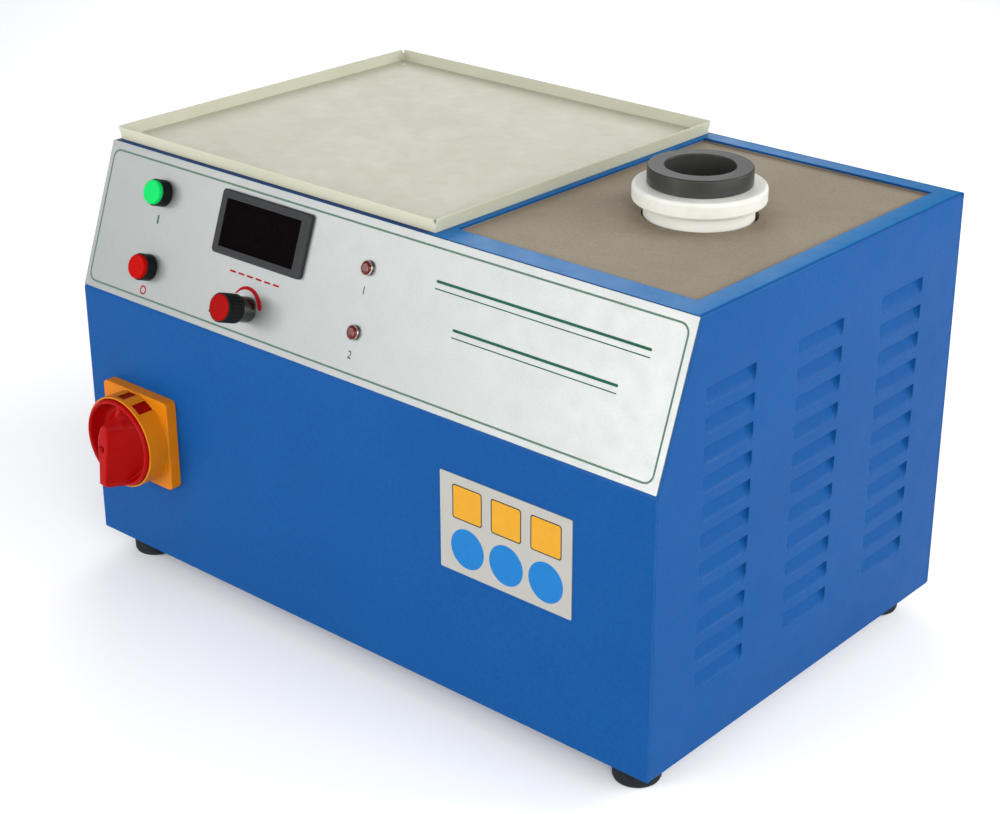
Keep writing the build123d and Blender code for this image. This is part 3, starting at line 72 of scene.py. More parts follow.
class Mat:
    """A principled material with procedural inputs, in object coordinates (metres)."""

    def __init__(self, name, metal=0.0, spec=0.5, coat=0.0, coat_rough=0.1, ior=1.5, glow=None):
        self.m = bpy.data.materials.new(name)
        self.m.use_nodes = True
        self.t = self.m.node_tree
        self.t.nodes.clear()
        self.out = self.new("ShaderNodeOutputMaterial")
        self.b = self.new("ShaderNodeBsdfPrincipled")
        self.link(self.b.outputs[0], self.out.inputs[0])
        self.tc = self.new("ShaderNodeTexCoord")
        self.b.inputs["Metallic"].default_value = metal
        self.b.inputs["Specular IOR Level"].default_value = spec
        self.b.inputs["Coat Weight"].default_value = coat
        self.b.inputs["Coat Roughness"].default_value = coat_rough
        self.b.inputs["IOR"].default_value = ior

    def new(self, kind, **k):
        n = self.t.nodes.new(kind)
        for a, v in k.items():
            setattr(n, a, v)
        return n

    def link(self, a, b):
        self.t.links.new(a, b)

    def coords(self, stretch=None, turn=None, shift=None):
        if not (stretch or turn or shift):
            return self.tc.outputs["Object"]
        m = self.new("ShaderNodeMapping")
        self.link(self.tc.outputs["Object"], m.inputs["Vector"])
        if stretch:
            m.inputs["Scale"].default_value = stretch
        if turn:
            m.inputs["Rotation"].default_value = turn
        if shift:
            m.inputs["Location"].default_value = shift
        return m.outputs[0]

    def noise(self, scale, detail=2.0, rough=0.5, warp=0.0, **where):
        n = self.new("ShaderNodeTexNoise")
        n.inputs["Scale"].default_value = scale
        n.inputs["Detail"].default_value = detail
        n.inputs["Roughness"].default_value = rough
        n.inputs["Distortion"].default_value = warp
        self.link(self.coords(**where), n.inputs["Vector"])
        return n.outputs[0]

    def cells(self, scale, feature="F1", **where):
        n = self.new("ShaderNodeTexVoronoi", feature=feature)
        n.inputs["Scale"].default_value = scale
        self.link(self.coords(**where), n.inputs["Vector"])
        return n.outputs["Distance"]

    def put(self, x, socket):
        if hasattr(x, "is_output"):
            self.link(x, socket)
        else:
            socket.default_value = x

    def range(self, x, a, b, c, d, smooth=False):
        n = self.new("ShaderNodeMapRange")
        if smooth:
            n.interpolation_type = "SMOOTHSTEP"
        self.put(x, n.inputs["Value"])
        for key, v in (("From Min", a), ("From Max", b), ("To Min", c), ("To Max", d)):
            n.inputs[key].default_value = v
        return n.outputs[0]

    def sum(self, a, b, op="ADD", clamp=False):
        n = self.new("ShaderNodeMath", operation=op, use_clamp=clamp)
        self.put(a, n.inputs[0])
        self.put(b, n.inputs[1])
        return n.outputs[0]

    def mix(self, fac, a, b, kind="MIX"):
        n = self.new("ShaderNodeMix", data_type="RGBA", blend_type=kind)
        self.put(fac, n.inputs[0])
        self.put(a, n.inputs[6])
        self.put(b, n.inputs[7])
        return n.outputs[2]

    def bump(self, height, dist, strength=1.0, normal=None):
        n = self.new("ShaderNodeBump")
        n.inputs["Strength"].default_value = strength
        n.inputs["Distance"].default_value = dist
        self.link(height, n.inputs["Height"])
        if normal:
            self.link(normal, n.inputs["Normal"])
        return n.outputs[0]

    def bevel(self, radius):
        n = self.new("ShaderNodeBevel", samples=4)
        n.inputs["Radius"].default_value = radius
        return n.outputs[0]

    def edges(self, bevel):
        """0 on flat ground, up to 1 on edges."""
        g = self.new("ShaderNodeNewGeometry")
        n = self.new("ShaderNodeVectorMath", operation="DOT_PRODUCT")
        self.link(bevel, n.inputs[0])
        self.link(g.outputs["Normal"], n.inputs[1])
        return self.range(n.outputs["Value"], 0.999, 0.86, 0.0, 1.0)

    def radius(self, cx, cy):
        """distance from the upright axis through (cx, cy), in metres"""
        s = self.new("ShaderNodeSeparateXYZ")
        self.link(self.tc.outputs["Object"], s.inputs[0])
        x = self.sum(s.outputs[0], cx, "SUBTRACT")
        y = self.sum(s.outputs[1], cy, "SUBTRACT")
        return self.sum(self.sum(self.sum(x, x, "MULTIPLY"), self.sum(y, y, "MULTIPLY")), 0.5, "POWER")

    def axis(self, i):
        s = self.new("ShaderNodeSeparateXYZ")
        self.link(self.tc.outputs["Object"], s.inputs[0])
        return s.outputs[i]

    def color(self, x):
        self.put(x, self.b.inputs["Base Color"])

    def rough(self, x):
        self.put(x, self.b.inputs["Roughness"])

    def normal(self, x):
        self.link(x, self.b.inputs["Normal"])


def plain(name, c, rough=0.5, metal=0.0, spec=0.5, var=0.08, scale=60.0, rvar=0.06, grain=900.0,
          depth=0.00002, coat=0.0, edge=0.0003, edge_wear_and_highlight=None, warp=0.0, stretch=None):
    """A surface with slow colour drift, uneven gloss, a fine grain and softened edges mixed toward a given edge colour,
    which stands for wear and for painted highlight.
    """
    m = Mat(name, metal=metal, spec=spec, coat=coat)
    slow = m.noise(scale, 3.0, 0.55, warp, stretch=stretch)
    dark = tuple(v * (1 - var) for v in c[:3]) + (1.0,)
    lite = tuple(min(1.0, v * (1 + var)) for v in c[:3]) + (1.0,)
    col = m.mix(m.range(slow, 0.3, 0.7, 0, 1), dark, lite)
    bev = m.bevel(edge)
    # edges mixed toward the given colour: wear, and on glossy parts a painted edge highlight
    if edge_wear_and_highlight:
        col = m.mix(m.sum(m.edges(bev), m.range(m.noise(240, 4), 0.35, 0.65, 0.15, 0.9), "MULTIPLY"), col, edge_wear_and_highlight)
    m.color(col)
    fine = m.noise(grain, 2.0, 0.6, stretch=stretch)
    m.rough(m.range(m.noise(scale * 2.3, 4.0, 0.6, stretch=stretch), 0.3, 0.7, max(0.03, rough - rvar), min(1, rough + rvar)))
    m.normal(m.bump(fine, depth, 1.0, bev))
    return m.m


def blue_paint():
    m = Mat("mat_blue_powder_coat", spec=0.08)
    slow = m.noise(9, 3, 0.5)
    fine = m.noise(1300, 2.0, 0.7)
    mott = m.noise(420, 3.0, 0.6)
    col = m.mix(m.range(slow, 0.3, 0.7, 0, 1), lin(1, 64, 121), lin(2, 68, 126))
    col = m.mix(m.range(mott, 0.36, 0.64, 0, 0.5), col, lin(1, 56, 113))
    col = m.mix(m.range(fine, 0.55, 0.75, 0, 0.35), col, lin(9, 82, 134))
    bev = m.bevel(0.0006)
    edge = m.edges(bev)
    # painted highlight: edges and bends mixed toward a lighter blue
    col = m.mix(m.sum(edge, 0.35, "MULTIPLY"), col, lin(26, 97, 141))
    # faces that look up are paler: painted top light and sheen
    up = m.new("ShaderNodeNewGeometry")
    s = m.new("ShaderNodeSeparateXYZ")
    m.link(up.outputs["Normal"], s.inputs[0])
    top = m.range(s.outputs[2], 0.9, 0.99, 0, 1)
    dust_and_sheen = m.sum(top, m.range(m.noise(140, 4), 0.3, 0.7, 0.75, 1.0), "MULTIPLY")
    beside_tray = m.range(m.axis(0), 0.040, 0.052, 0, 1)
    # painted shadow: up-facing faces left of x = 0.04 m, in front of the tray, darkened to navy as shade under the
    # tray's lip
    col = m.mix(m.sum(top, m.sum(1.0, beside_tray, "SUBTRACT"), "MULTIPLY"), col, lin(1, 44, 92))
    # painted top light: up-facing faces to the right of the tray mixed toward a paler blue
    m.color(m.mix(m.sum(dust_and_sheen, beside_tray, "MULTIPLY"), col, lin(6, 99, 157)))
    m.rough(m.range(m.noise(60, 3), 0.3, 0.7, 0.36, 0.46))
    peel = m.sum(m.sum(m.noise(700, 2.0, 0.5), 0.7, "MULTIPLY"), m.sum(fine, 0.3, "MULTIPLY"))
    m.normal(m.bump(peel, 0.00009, 0.7, bev))
    return m.m


def silver_print():
    m = Mat("mat_faceplate_silver", metal=0.0, spec=0.5)
    speck = m.noise(1500, 2.0, 0.7)
    slow = m.noise(12, 2)
    col = m.mix(m.range(slow, 0.3, 0.7, 0, 1), lin(137, 140, 139), lin(140, 142, 140))
    col = m.mix(m.range(speck, 0.46, 0.7, 0, 0.4), col, lin(120, 124, 123))
    bev = m.bevel(0.0003)
    # painted highlight: edges mixed toward a lighter grey
    m.color(m.mix(m.sum(m.edges(bev), 0.5, "MULTIPLY"), col, lin(165, 167, 165)))
    m.rough(m.range(m.noise(90, 3), 0.3, 0.7, 0.39, 0.44))
    m.normal(m.bump(speck, 0.00002, 0.5, bev))
    m.b.inputs["Metallic"].default_value = 0.7
    return m.m


def cream_enamel():
    m = Mat("mat_cream_enamel", spec=0.16)
    cloud = m.noise(14, 4, 0.6, 0.6)
    stain = m.noise(38, 5, 0.65, 1.2)
    fine = m.noise(1100, 2, 0.6)
    col = m.mix(m.range(cloud, 0.3, 0.7, 0, 1), lin(164, 164, 145), lin(170, 169, 152))
    col = m.mix(m.range(stain, 0.55, 0.75, 0, 0.25), col, lin(151, 151, 135))
    col = m.mix(m.range(fine, 0.6, 0.75, 0, 0.2), col, lin(149, 149, 133))
    bev = m.bevel(0.0005)
    # painted highlight: edges mixed toward a lighter cream
    m.color(m.mix(m.sum(m.edges(bev), 0.6, "MULTIPLY"), col, lin(186, 185, 160)))
    m.rough(m.range(m.noise(120, 3), 0.3, 0.7, 0.38, 0.5))
    m.normal(m.bump(fine, 0.00003, 0.6, bev))
    return m.m


def mineral_board():
    m = Mat("mat_mineral_board", spec=0.2)
    cloud = m.noise(22, 4, 0.6, 0.4)
    grit = m.noise(1100, 3, 0.75)
    spots = m.cells(800)
    fibre = m.noise(160, 4, 0.7, 1.5, stretch=(1.0, 2.4, 1.0))
    col = m.mix(m.range(cloud, 0.3, 0.7, 0, 1), lin(136, 126, 110), lin(146, 136, 119))
    col = m.mix(m.range(grit, 0.4, 0.68, 0, 0.5), col, lin(112, 101, 86))
    col = m.mix(m.range(spots, 0.05, 0.2, 0.22, 0), col, lin(176, 168, 150))
    col = m.mix(m.range(fibre, 0.55, 0.7, 0, 0.18), col, lin(128, 117, 100))
    # browner round the well and along the edges
    r = m.radius((FX - 242.5) / 1000, (FY - 150.5) / 1000)
    heat = m.sum(m.range(r, 0.038, 0.062, 0.45, 0.0, True), m.range(m.noise(70, 3), 0.3, 0.7, 0.5, 1.0), "MULTIPLY")
    rim_x = m.sum(m.axis(0), (381.75 - 242.5) / 1000, "SUBTRACT")
    ax = m.new("ShaderNodeMath", operation="ABSOLUTE")
    m.link(rim_x, ax.inputs[0])
    ay = m.new("ShaderNodeMath", operation="ABSOLUTE")
    m.link(m.sum(m.axis(1), (175.75 - 150.5) / 1000, "SUBTRACT"), ay.inputs[0])
    near = m.sum(m.range(ax.outputs[0], 0.079, 0.088, 0, 0.35, True), m.range(ay.outputs[0], 0.114, 0.1235, 0, 0.35, True), "MAXIMUM")
    col = m.mix(near, col, lin(112, 94, 76))
    m.color(m.mix(heat, col, lin(104, 86, 68)))
    m.rough(m.range(grit, 0.3, 0.7, 0.74, 0.9))
    m.normal(m.bump(m.sum(grit, m.sum(fibre, 0.5, "MULTIPLY")), 0.00008, 0.7))
    return m.m


def turned(m, top_scale, side_scale, wobble):
    """Lathe marks: rings on the faces that look up, level lines on the sides; also the 'looks up' mask."""
    r = m.radius((FX - 242.5) / 1000, (FY - 150.5) / 1000)
    wave = m.sum(m.noise(60, 3), wobble, "MULTIPLY")
    rings = m.new("ShaderNodeMath", operation="SINE")
    m.link(m.sum(m.sum(r, top_scale, "MULTIPLY"), wave), rings.inputs[0])
    lines = m.noise(1.0, 3, 0.65, stretch=(6, 6, side_scale))
    up = m.new("ShaderNodeNewGeometry")
    s = m.new("ShaderNodeSeparateXYZ")
    m.link(up.outputs["Normal"], s.inputs[0])
    top = m.range(s.outputs[2], 0.6, 0.9, 0, 1)
    return rings.outputs[0], lines, top


def ceramic():
    m = Mat("mat_white_ceramic", spec=0.2)
    cloud = m.noise(70, 4, 0.6, 0.4)
    grit = m.noise(1400, 3, 0.7)
    rings, lines, top = turned(m, 5200, 1500, 4.0)
    col = m.mix(m.range(cloud, 0.3, 0.7, 0, 1), lin(195, 195, 186), lin(204, 204, 197))
    col = m.mix(m.range(grit, 0.55, 0.75, 0, 0.22), col, lin(184, 185, 174))
    col = m.mix(m.sum(m.range(rings, 0.1, 1, 0, 0.3), top, "MULTIPLY"), col, lin(164, 163, 154))
    bev = m.bevel(0.0006)
    edge = m.sum(m.edges(bev), m.range(m.noise(300, 3), 0.45, 0.6, 0, 0.6), "MULTIPLY")
    m.color(m.mix(edge, col, lin(174, 173, 163)))
    m.rough(m.range(cloud, 0.3, 0.7, 0.5, 0.66))
    m.normal(m.bump(m.sum(grit, m.sum(m.noise(200, 3), 0.7, "MULTIPLY")), 0.00005, 0.7, bev))
    return m.m


def graphite():
    m = Mat("mat_turned_graphite", metal=0.4, spec=0.25)
    cloud = m.noise(60, 3, 0.5, 0.4)
    rings, lines, top = turned(m, 6500, 2600, 3.0)
    col = m.mix(m.range(cloud, 0.3, 0.7, 0, 1), lin(61, 61, 58), lin(69, 69, 66))
    # painted shade: faces that look up take this separate, much darker copy of the graphite colour
    painted_top_shade = m.mix(m.range(cloud, 0.3, 0.7, 0, 1), lin(22, 22, 20), lin(28, 28, 26))
    col = m.mix(m.range(lines, 0.35, 0.65, 0, 0.5), col, lin(46, 46, 44))
    painted_top_shade = m.mix(m.range(rings, -0.2, 1, 0, 0.45), painted_top_shade, lin(10, 10, 9))
    # painted shade: up-facing faces get the darker copy, the sides the lighter one
    col = m.mix(top, col, painted_top_shade)
    bev = m.bevel(0.0004)
    # painted highlight: edges mixed toward a lighter grey
    m.color(m.mix(m.sum(m.edges(bev), 0.4, "MULTIPLY"), col, lin(104, 104, 99)))
    m.rough(m.sum(m.range(lines, 0.3, 0.7, 0.24, 0.34), m.sum(top, 0.21, "MULTIPLY")))
    m.normal(m.bump(m.sum(lines, m.sum(m.noise(1500, 2), 0.3, "MULTIPLY")), 0.00002, 0.6, bev))
    return m.m


def brushed(name, c, rough=0.32, stretch=(1, 40, 1), metal=1.0):
    m = Mat(name, metal=metal)
    lines = m.noise(500, 3, 0.6, stretch=stretch)
    slow = m.noise(40, 3)
    dark = tuple(v * 0.8 for v in c[:3]) + (1.0,)
    m.color(m.mix(m.range(m.sum(lines, slow), 0.8, 1.2, 0, 1), dark, c))
    m.rough(m.range(lines, 0.3, 0.7, rough - 0.06, rough + 0.1))
    m.normal(m.bump(lines, 0.00001, 0.6, m.bevel(0.0003)))
    return m.m


def rubber():
    m = Mat("mat_black_rubber", spec=0.12)
    slow = m.noise(90, 3)
    fine = m.noise(1600, 2, 0.7)
    col = m.mix(m.range(slow, 0.3, 0.7, 0, 1), lin(22, 24, 26), lin(32, 34, 36))
    bev = m.bevel(0.0006)
    dust_and_sheen = m.sum(m.edges(bev), m.range(m.noise(220, 4), 0.4, 0.65, 0, 0.7), "MULTIPLY")
    m.color(m.mix(dust_and_sheen, col, lin(86, 86, 84)))
    m.rough(m.range(fine, 0.3, 0.7, 0.6, 0.78))
    m.normal(m.bump(fine, 0.00005, 0.8, bev))
    return m.m


def circuit(name):
    m = Mat(name, spec=0.5, coat=0.3)
    tracks = m.cells(260, "DISTANCE_TO_EDGE", stretch=(1, 1, 0.3))
    col = m.mix(m.range(tracks, 0.02, 0.05, 0.6, 0), lin(12, 84, 48), lin(40, 120, 70))
    m.color(m.mix(m.range(m.noise(900, 2), 0.62, 0.7, 0, 0.6), col, lin(190, 180, 140)))
    m.rough(m.range(m.noise(200, 3), 0.3, 0.7, 0.3, 0.45))
    m.normal(m.bump(tracks, 0.00003, 0.5))
    return m.m


MATS = {
    "blue": blue_paint(),
    "silver": silver_print(),
    "cream": cream_enamel(),
    "board": mineral_board(),
    "ceramic": ceramic(),
    "graphite": graphite(),
    "rubber": rubber(),
    "steel": brushed("mat_zinc_steel", lin(186, 188, 190)),
    "zinc": brushed("mat_zinc_sheet", lin(176, 180, 184), 0.42, (1, 6, 1)),
    "gasket": plain("mat_fibre_gasket", lin(206, 202, 190), 0.9, grain=700, depth=0.0001, var=0.12),
    "refractory": plain("mat_refractory", lin(206, 192, 160), 0.9, grain=500, depth=0.00025, var=0.15, scale=90),
    "copper": plain("mat_copper", lin(196, 118, 82), 0.3, metal=1.0, var=0.15, scale=80, grain=800),
    "brass": plain("mat_brass", lin(198, 166, 92), 0.28, metal=1.0, var=0.08, scale=100, grain=900),
    "yellow": plain("mat_switch_yellow", lin(181, 104, 9), 0.36, spec=0.1, var=0.04, scale=70, grain=1100,
                    depth=0.00002, edge=0.0006, edge_wear_and_highlight=lin(228, 150, 46)),
    "red": plain("mat_switch_red", lin(141, 3, 2), 0.36, spec=0.07, var=0.05, scale=70, grain=1100, depth=0.00002,
                 edge=0.0008, edge_wear_and_highlight=lin(160, 24, 13)),
    "black": plain("mat_black_moulding", lin(12, 15, 14), 0.4, spec=0.1, var=0.12, grain=1400, depth=0.00004,
                   edge=0.0004, edge_wear_and_highlight=lin(56, 60, 60)),
    "grey": plain("mat_meter_grey", lin(44, 45, 47), 0.42, spec=0.06, var=0.06, grain=1500, depth=0.00003,
                  edge=0.0004, edge_wear_and_highlight=lin(96, 102, 104)),
    "green_cap": plain("mat_green_cap", lin(14, 176, 84), 0.34, spec=0.04, var=0.03, scale=90, rvar=0.02, grain=900,
                       depth=0.000004, edge_wear_and_highlight=lin(40, 190, 110)),
    "red_cap": plain("mat_red_cap", lin(150, 6, 2), 0.34, spec=0.03, var=0.03, scale=90, rvar=0.02, grain=900,
                     depth=0.000004, edge_wear_and_highlight=lin(170, 26, 14)),
    "knob_cap": plain("mat_knob_cap", lin(130, 6, 4), 0.5, spec=0.03, var=0.03, scale=90, rvar=0.02, grain=1300,
                      depth=0.00001, edge_wear_and_highlight=lin(150, 20, 12)),
    "window": plain("mat_smoked_window", lin(4, 1, 2), 0.3, spec=0.008, var=0.2, scale=60, rvar=0.02, grain=600,
                    depth=0.000002),
    "lens": plain("mat_dark_red_lens", lin(78, 4, 5), 0.12, spec=0.35, var=0.15, scale=300, rvar=0.03, grain=600,
                  depth=0.000004),
    "chrome": plain("mat_chrome", lin(206, 208, 210), 0.14, metal=1.0, var=0.04, rvar=0.05, grain=700,
                    depth=0.000005),
    "dark_steel": plain("mat_blackened_steel", lin(84, 86, 84), 0.26, metal=1.0, var=0.12, rvar=0.05, grain=700,
                        depth=0.000008, edge_wear_and_highlight=lin(170, 170, 166)),
    "lamp_ring": plain("mat_lamp_ring", lin(128, 118, 112), 0.2, metal=1.0, var=0.1, rvar=0.05, grain=700,
                       depth=0.000006, edge_wear_and_highlight=lin(220, 214, 208)),
    "label": plain("mat_label_sheet", lin(149, 147, 141), 0.45, spec=0.25, var=0.02, scale=50, grain=1300,
                   depth=0.00002, edge=0.0003),
    "alu": brushed("mat_machined_aluminium", lin(198, 200, 204), 0.36, (1, 30, 1)),
    "pcb": circuit("mat_circuit_board"),
    "hose": plain("mat_hose", lin(150, 152, 156), 0.4, var=0.05, grain=500, depth=0.00003),
    "ink_border": plain("mat_ink_border", lin(78, 100, 88), 0.5, spec=0.05, var=0.1, scale=500, grain=1500, depth=0.00001),
    "ink_green": plain("mat_ink_green", lin(26, 74, 58), 0.5, spec=0.04, var=0.1, scale=500, grain=1500, depth=0.00001),
    "ink_red": plain("mat_ink_red", lin(138, 16, 18), 0.5, spec=0.03, var=0.08, scale=500, grain=1500, depth=0.00001),
    "ink_dark": plain("mat_ink_dark", lin(34, 42, 42), 0.5, spec=0.05, var=0.1, scale=500, grain=1500, depth=0.00001),
    "ink_amber": plain("mat_ink_amber", lin(182, 132, 36), 0.45, spec=0.08, var=0.04, scale=300, grain=1500, depth=0.00001),
    "ink_blue": plain("mat_ink_blue", lin(22, 98, 158), 0.45, spec=0.08, var=0.04, scale=300, grain=1500, depth=0.00001),
    "segment": plain("mat_unlit_segment", lin(7, 2, 3), 0.3, spec=0.008, var=0.2, scale=300, grain=900, depth=0.000003),
}
SKIN = {
    "base_pan": "blue", "front_panel": "blue", "cover": "blue", "rear_panel": "blue",
    "control_faceplate": "silver", "rear_screws": "steel", "feet": "rubber", "foot_screws": "steel",
    "label_plate": "label", "tray": "cream", "tray_screws": "cream", "furnace_board": "board",
    "board_gasket": "board", "board_rails": "zinc", "crucible_jacket": "ceramic", "crucible": "graphite",
    "coil_liner": "refractory", "refractory_base": "refractory", "furnace_stand": "zinc",
    "induction_coil": "copper", "tank_capacitor": "black", "busbars": "copper", "switch_plate": "yellow",
    "switch_screws": "steel", "switch_handle": "red", "switch_shaft": "steel", "switch_body": "black",
    "button_bezels": "black", "start_button_cap": "green_cap", "stop_button_cap": "red_cap",
    "contact_blocks": "black", "knob": "black", "knob_cap": "knob_cap", "pot_shaft": "alu",
    "potentiometer": "steel", "pot_nut": "dark_steel", "meter_bezel": "grey", "meter_window": "window",
    "meter_body": "black", "lamp_bezels": "lamp_ring", "lamp_lenses": "lens", "control_board": "pcb",
    "board_pillars": "brass", "cold_plate": "alu", "igbt_modules": "black", "rectifier_bridge": "black",
    "thermal_switch": "black", "driver_board": "pcb", "dc_capacitors": "alu", "contactor": "black",
    "terminal_block": "grey", "water_fittings": "brass", "flow_switch": "brass", "cooling_hoses": "hose",
    "fan_frame": "black", "fan_rotor": "black", "fan_guard": "chrome", "fan_screws": "steel",
    "cable_gland": "black", "earth_stud": "brass",
}
for name, ob in nodes.items():
    ob.data.materials.clear()
    ob.data.materials.append(MATS[SKIN[name]])


# ------------------------------------------------------------ mesh helpers
def add(name, mesh, mat, body):
    ob = bpy.data.objects.new(name, mesh)
    bpy.context.scene.collection.objects.link(ob)
    mesh.materials.clear()
    mesh.materials.append(MATS[mat])
    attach(ob, body)
    return ob


def from_curve(cu, where, lift):
    tmp = bpy.data.objects.new("tmp", cu)
    bpy.context.scene.collection.objects.link(tmp)
    bpy.context.view_layer.update()
    mesh = bpy.data.meshes.new_from_object(tmp.evaluated_get(bpy.context.evaluated_depsgraph_get()))
    bpy.data.objects.remove(tmp)
    mesh.transform(where @ Matrix.Translation((0, 0, lift)))
    return mesh


def outline(name, loops, height, where, mat, body="cabinet", lift=0.0):
    """A thin printed or pressed shape, from closed loops in mm on a plane; inner loops are holes."""
    cu = bpy.data.curves.new(name, "CURVE")
    cu.dimensions = "2D"
    cu.fill_mode = "BOTH"
    cu.extrude = height / 2
    for loop in loops:
        sp = cu.splines.new("POLY")
        sp.points.add(len(loop) - 1)
        for p, (x, y) in zip(sp.points, loop):
            p.co = (x, y, 0, 1)
        sp.use_cyclic_u = True
    mesh = from_curve(cu, where, height / 2 + lift)
    return add(name, mesh, mat, body)


def number(name, text, x, y, size, height, where, mat, body="cabinet", lift=0.0):
    cu = bpy.data.curves.new(name, "FONT")
    cu.body = text
    cu.size = size
    cu.align_x = "CENTER"
    cu.align_y = "CENTER"
    cu.extrude = height / 2
    cu.resolution_u = 4
    mesh = from_curve(cu, where @ Matrix.Translation((x, y, 0)), height / 2 + lift)
    return add(name, mesh, mat, body)


def rounded(x0, y0, x1, y1, r, n=6):
    pts = []
    for cx, cy, a0 in ((x1 - r, y1 - r, 0), (x0 + r, y1 - r, 90), (x0 + r, y0 + r, 180), (x1 - r, y0 + r, 270)):
        for k in range(n + 1):
            a = math.radians(a0 + 90 * k / n)
            pts.append((cx + r * math.cos(a), cy + r * math.sin(a)))
    return pts


def disc(cx, cy, r, n=48):
    return [(cx + r * math.cos(2 * math.pi * k / n), cy + r * math.sin(2 * math.pi * k / n)) for k in range(n)]


def ring(x0, y0, x1, y1, r, w):
    return [rounded(x0, y0, x1, y1, r), rounded(x0 + w, y0 + w, x1 - w, y1 - w, max(0.3, r - w))]


def finish_mesh(ob, angle=35.0):
    """The object's evaluated mesh, smooth-shaded with sharp edges above the angle."""
    bpy.context.view_layer.update()
    mesh = bpy.data.meshes.new_from_object(ob.evaluated_get(bpy.context.evaluated_depsgraph_get()))
    mats = list(ob.data.materials)
    ob.modifiers.clear()
    ob.data = mesh
    mesh.materials.clear()
    for one in mats:
        mesh.materials.append(one)
    mesh.shade_smooth()
    mesh.set_sharp_from_angle(angle=math.radians(angle))
    return ob


def grid_mesh(name, pts, keep=None, where=None):
    """A quad sheet through rows of points, in mm; keep(i, j) says which quads stay."""
    bm = bmesh.new()
    rows = [[bm.verts.new(p) for p in row] for row in pts]
    for i in range(len(rows) - 1):
        for j in range(len(rows[0]) - 1):
            if keep is None or keep(i, j):
                bm.faces.new((rows[i][j], rows[i + 1][j], rows[i + 1][j + 1], rows[i][j + 1]))
    bmesh.ops.delete(bm, geom=[v for v in bm.verts if not v.link_faces], context="VERTS")
    bmesh.ops.remove_doubles(bm, verts=bm.verts, dist=0.0005)
    bm.normal_update()
    mesh = bpy.data.meshes.new(name)
    bm.to_mesh(mesh)
    bm.free()
    mesh.transform(where or BODY)
    return mesh


# ------------------------------------------------ cover with pressed louvres
LV_ENDS, LV_LEN = (89.5, 179.0, 268.5), 47.5
LV_TOP, LV_PITCH, LV_N, LV_H, LV_DEEP = 233.2, 18.0, 11, 11.3, 4.2
Y_BACK, FOLD = 309.7, 2.6


def soft_min(a, b, k):
    h = max(k - abs(a - b), 0.0) / k
    return min(a, b) - h * h * k * 0.25


def louvre(e, v):
    """Depth of the pressing, e mm in from its nearer end and v mm up from its foot."""
    ramp = LV_DEEP * max(0.0, min(1.0, v / LV_H)) ** 0.7
    end = 4.6 * math.sqrt(max(0.0, 1 - (1 - min(max(e, 0) / 2.6, 1.0)) ** 2))
    # the foot's corners are round
    c = 5.0
    if e < c and v < c:
        d = c - math.hypot(c - e, c - v)
        if d <= 0:
            return 0.0
        end = min(end, 4.6 * math.sqrt(max(0.0, 1 - (1 - min(d / 2.6, 1.0)) ** 2)))
    return max(0.0, soft_min(ramp, end, 0.9))


def front_edge(z):
    """y of the sheet's front edge at height z on the sides"""
    off = -0.8 - 1.5 - 0.3
    s = (z - BEND_Z - off * SN) / CS
    return max(1.8, s * SN - off * CS)


ys = [None, 39.5]
for end in LV_ENDS:
    y0 = end - LV_LEN
    ys += [y0 - 1.2, y0] + [y0 + t for t in (0.35, 0.8, 1.4, 2.1, 3.0, 4.0, 5.1, 6.5, 9.0)]
    ys += [y0 + LV_LEN * k / 8 for k in range(2, 7)]
    ys += [end - t for t in (9.0, 6.5, 5.1, 4.0, 3.0, 2.1, 1.4, 0.8, 0.35)] + [end, end + 1.2]
ys += [52.5, 299.0, Y_BACK]
ys = [None] + sorted(set(round(y, 3) for y in ys if y is not None))
zs = [0.0, 3.0]
for k in reversed(range(LV_N)):
    z1 = LV_TOP - k * LV_PITCH
    z0 = z1 - LV_H
    zs += [z0 - 1.5, z0] + [z0 + t for t in (0.5, 1.1, 1.8, 2.7, 3.8, 5.2, 7.0, 9.0, 10.4)] + [z1, z1, z1 + 1.2]
zs += [BEND_Z + 0.2, 240.0, H - FOLD]
zs.sort()


def side_depth(y, z, lower):
    for end in LV_ENDS:
        e = min(y - (end - LV_LEN), end - y)
        if e <= 0:
            continue
        for k in range(LV_N):
            z1 = LV_TOP - k * LV_PITCH
            z0 = z1 - LV_H
            if z0 <= z < z1 - 0.001 or (abs(z - z1) < 0.001 and lower):
                return louvre(e, z - z0)
    return 0.0


section = []                    # x, z, inward normal x, row kind
seen = set()
for z in zs:
    lower = round(z, 3) not in seen
    seen.add(round(z, 3))
    section.append((0.0, z, 1, lower))
arc_n = 5
tops = [(FOLD - FOLD * math.cos(math.radians(90 * k / arc_n)), H - FOLD + FOLD * math.sin(math.radians(90 * k / arc_n)))
        for k in range(1, arc_n + 1)]
tops += [(12.0, H), (60.0, H), (140.0, H), (220.0, H), (294.0, H), (350.0, H), (410.0, H), (469.5, H)]
tops += [(W - x, z) for x, z in reversed(tops[:arc_n])]
grid = []
for x, z, inward, lower in section:
    y_start = front_edge(z)
    row = []
    for y in ys:
        yy = y_start if y is None else y
        row.append((side_depth(yy, z, lower), yy, z))
    grid.append(row)
flat_from = len(grid)
for x, z in tops:
    grid.append([(x, min(front_edge(z), 34.9) if y is None else y, z) for y in ys])
flat_to = len(grid)
for x, z, inward, lower in reversed(section):
    y_start = front_edge(z)
    row = []
    for y in ys:
        yy = y_start if y is None else y
        row.append((W - side_depth(yy, z, lower), yy, z))
    grid.append(row)


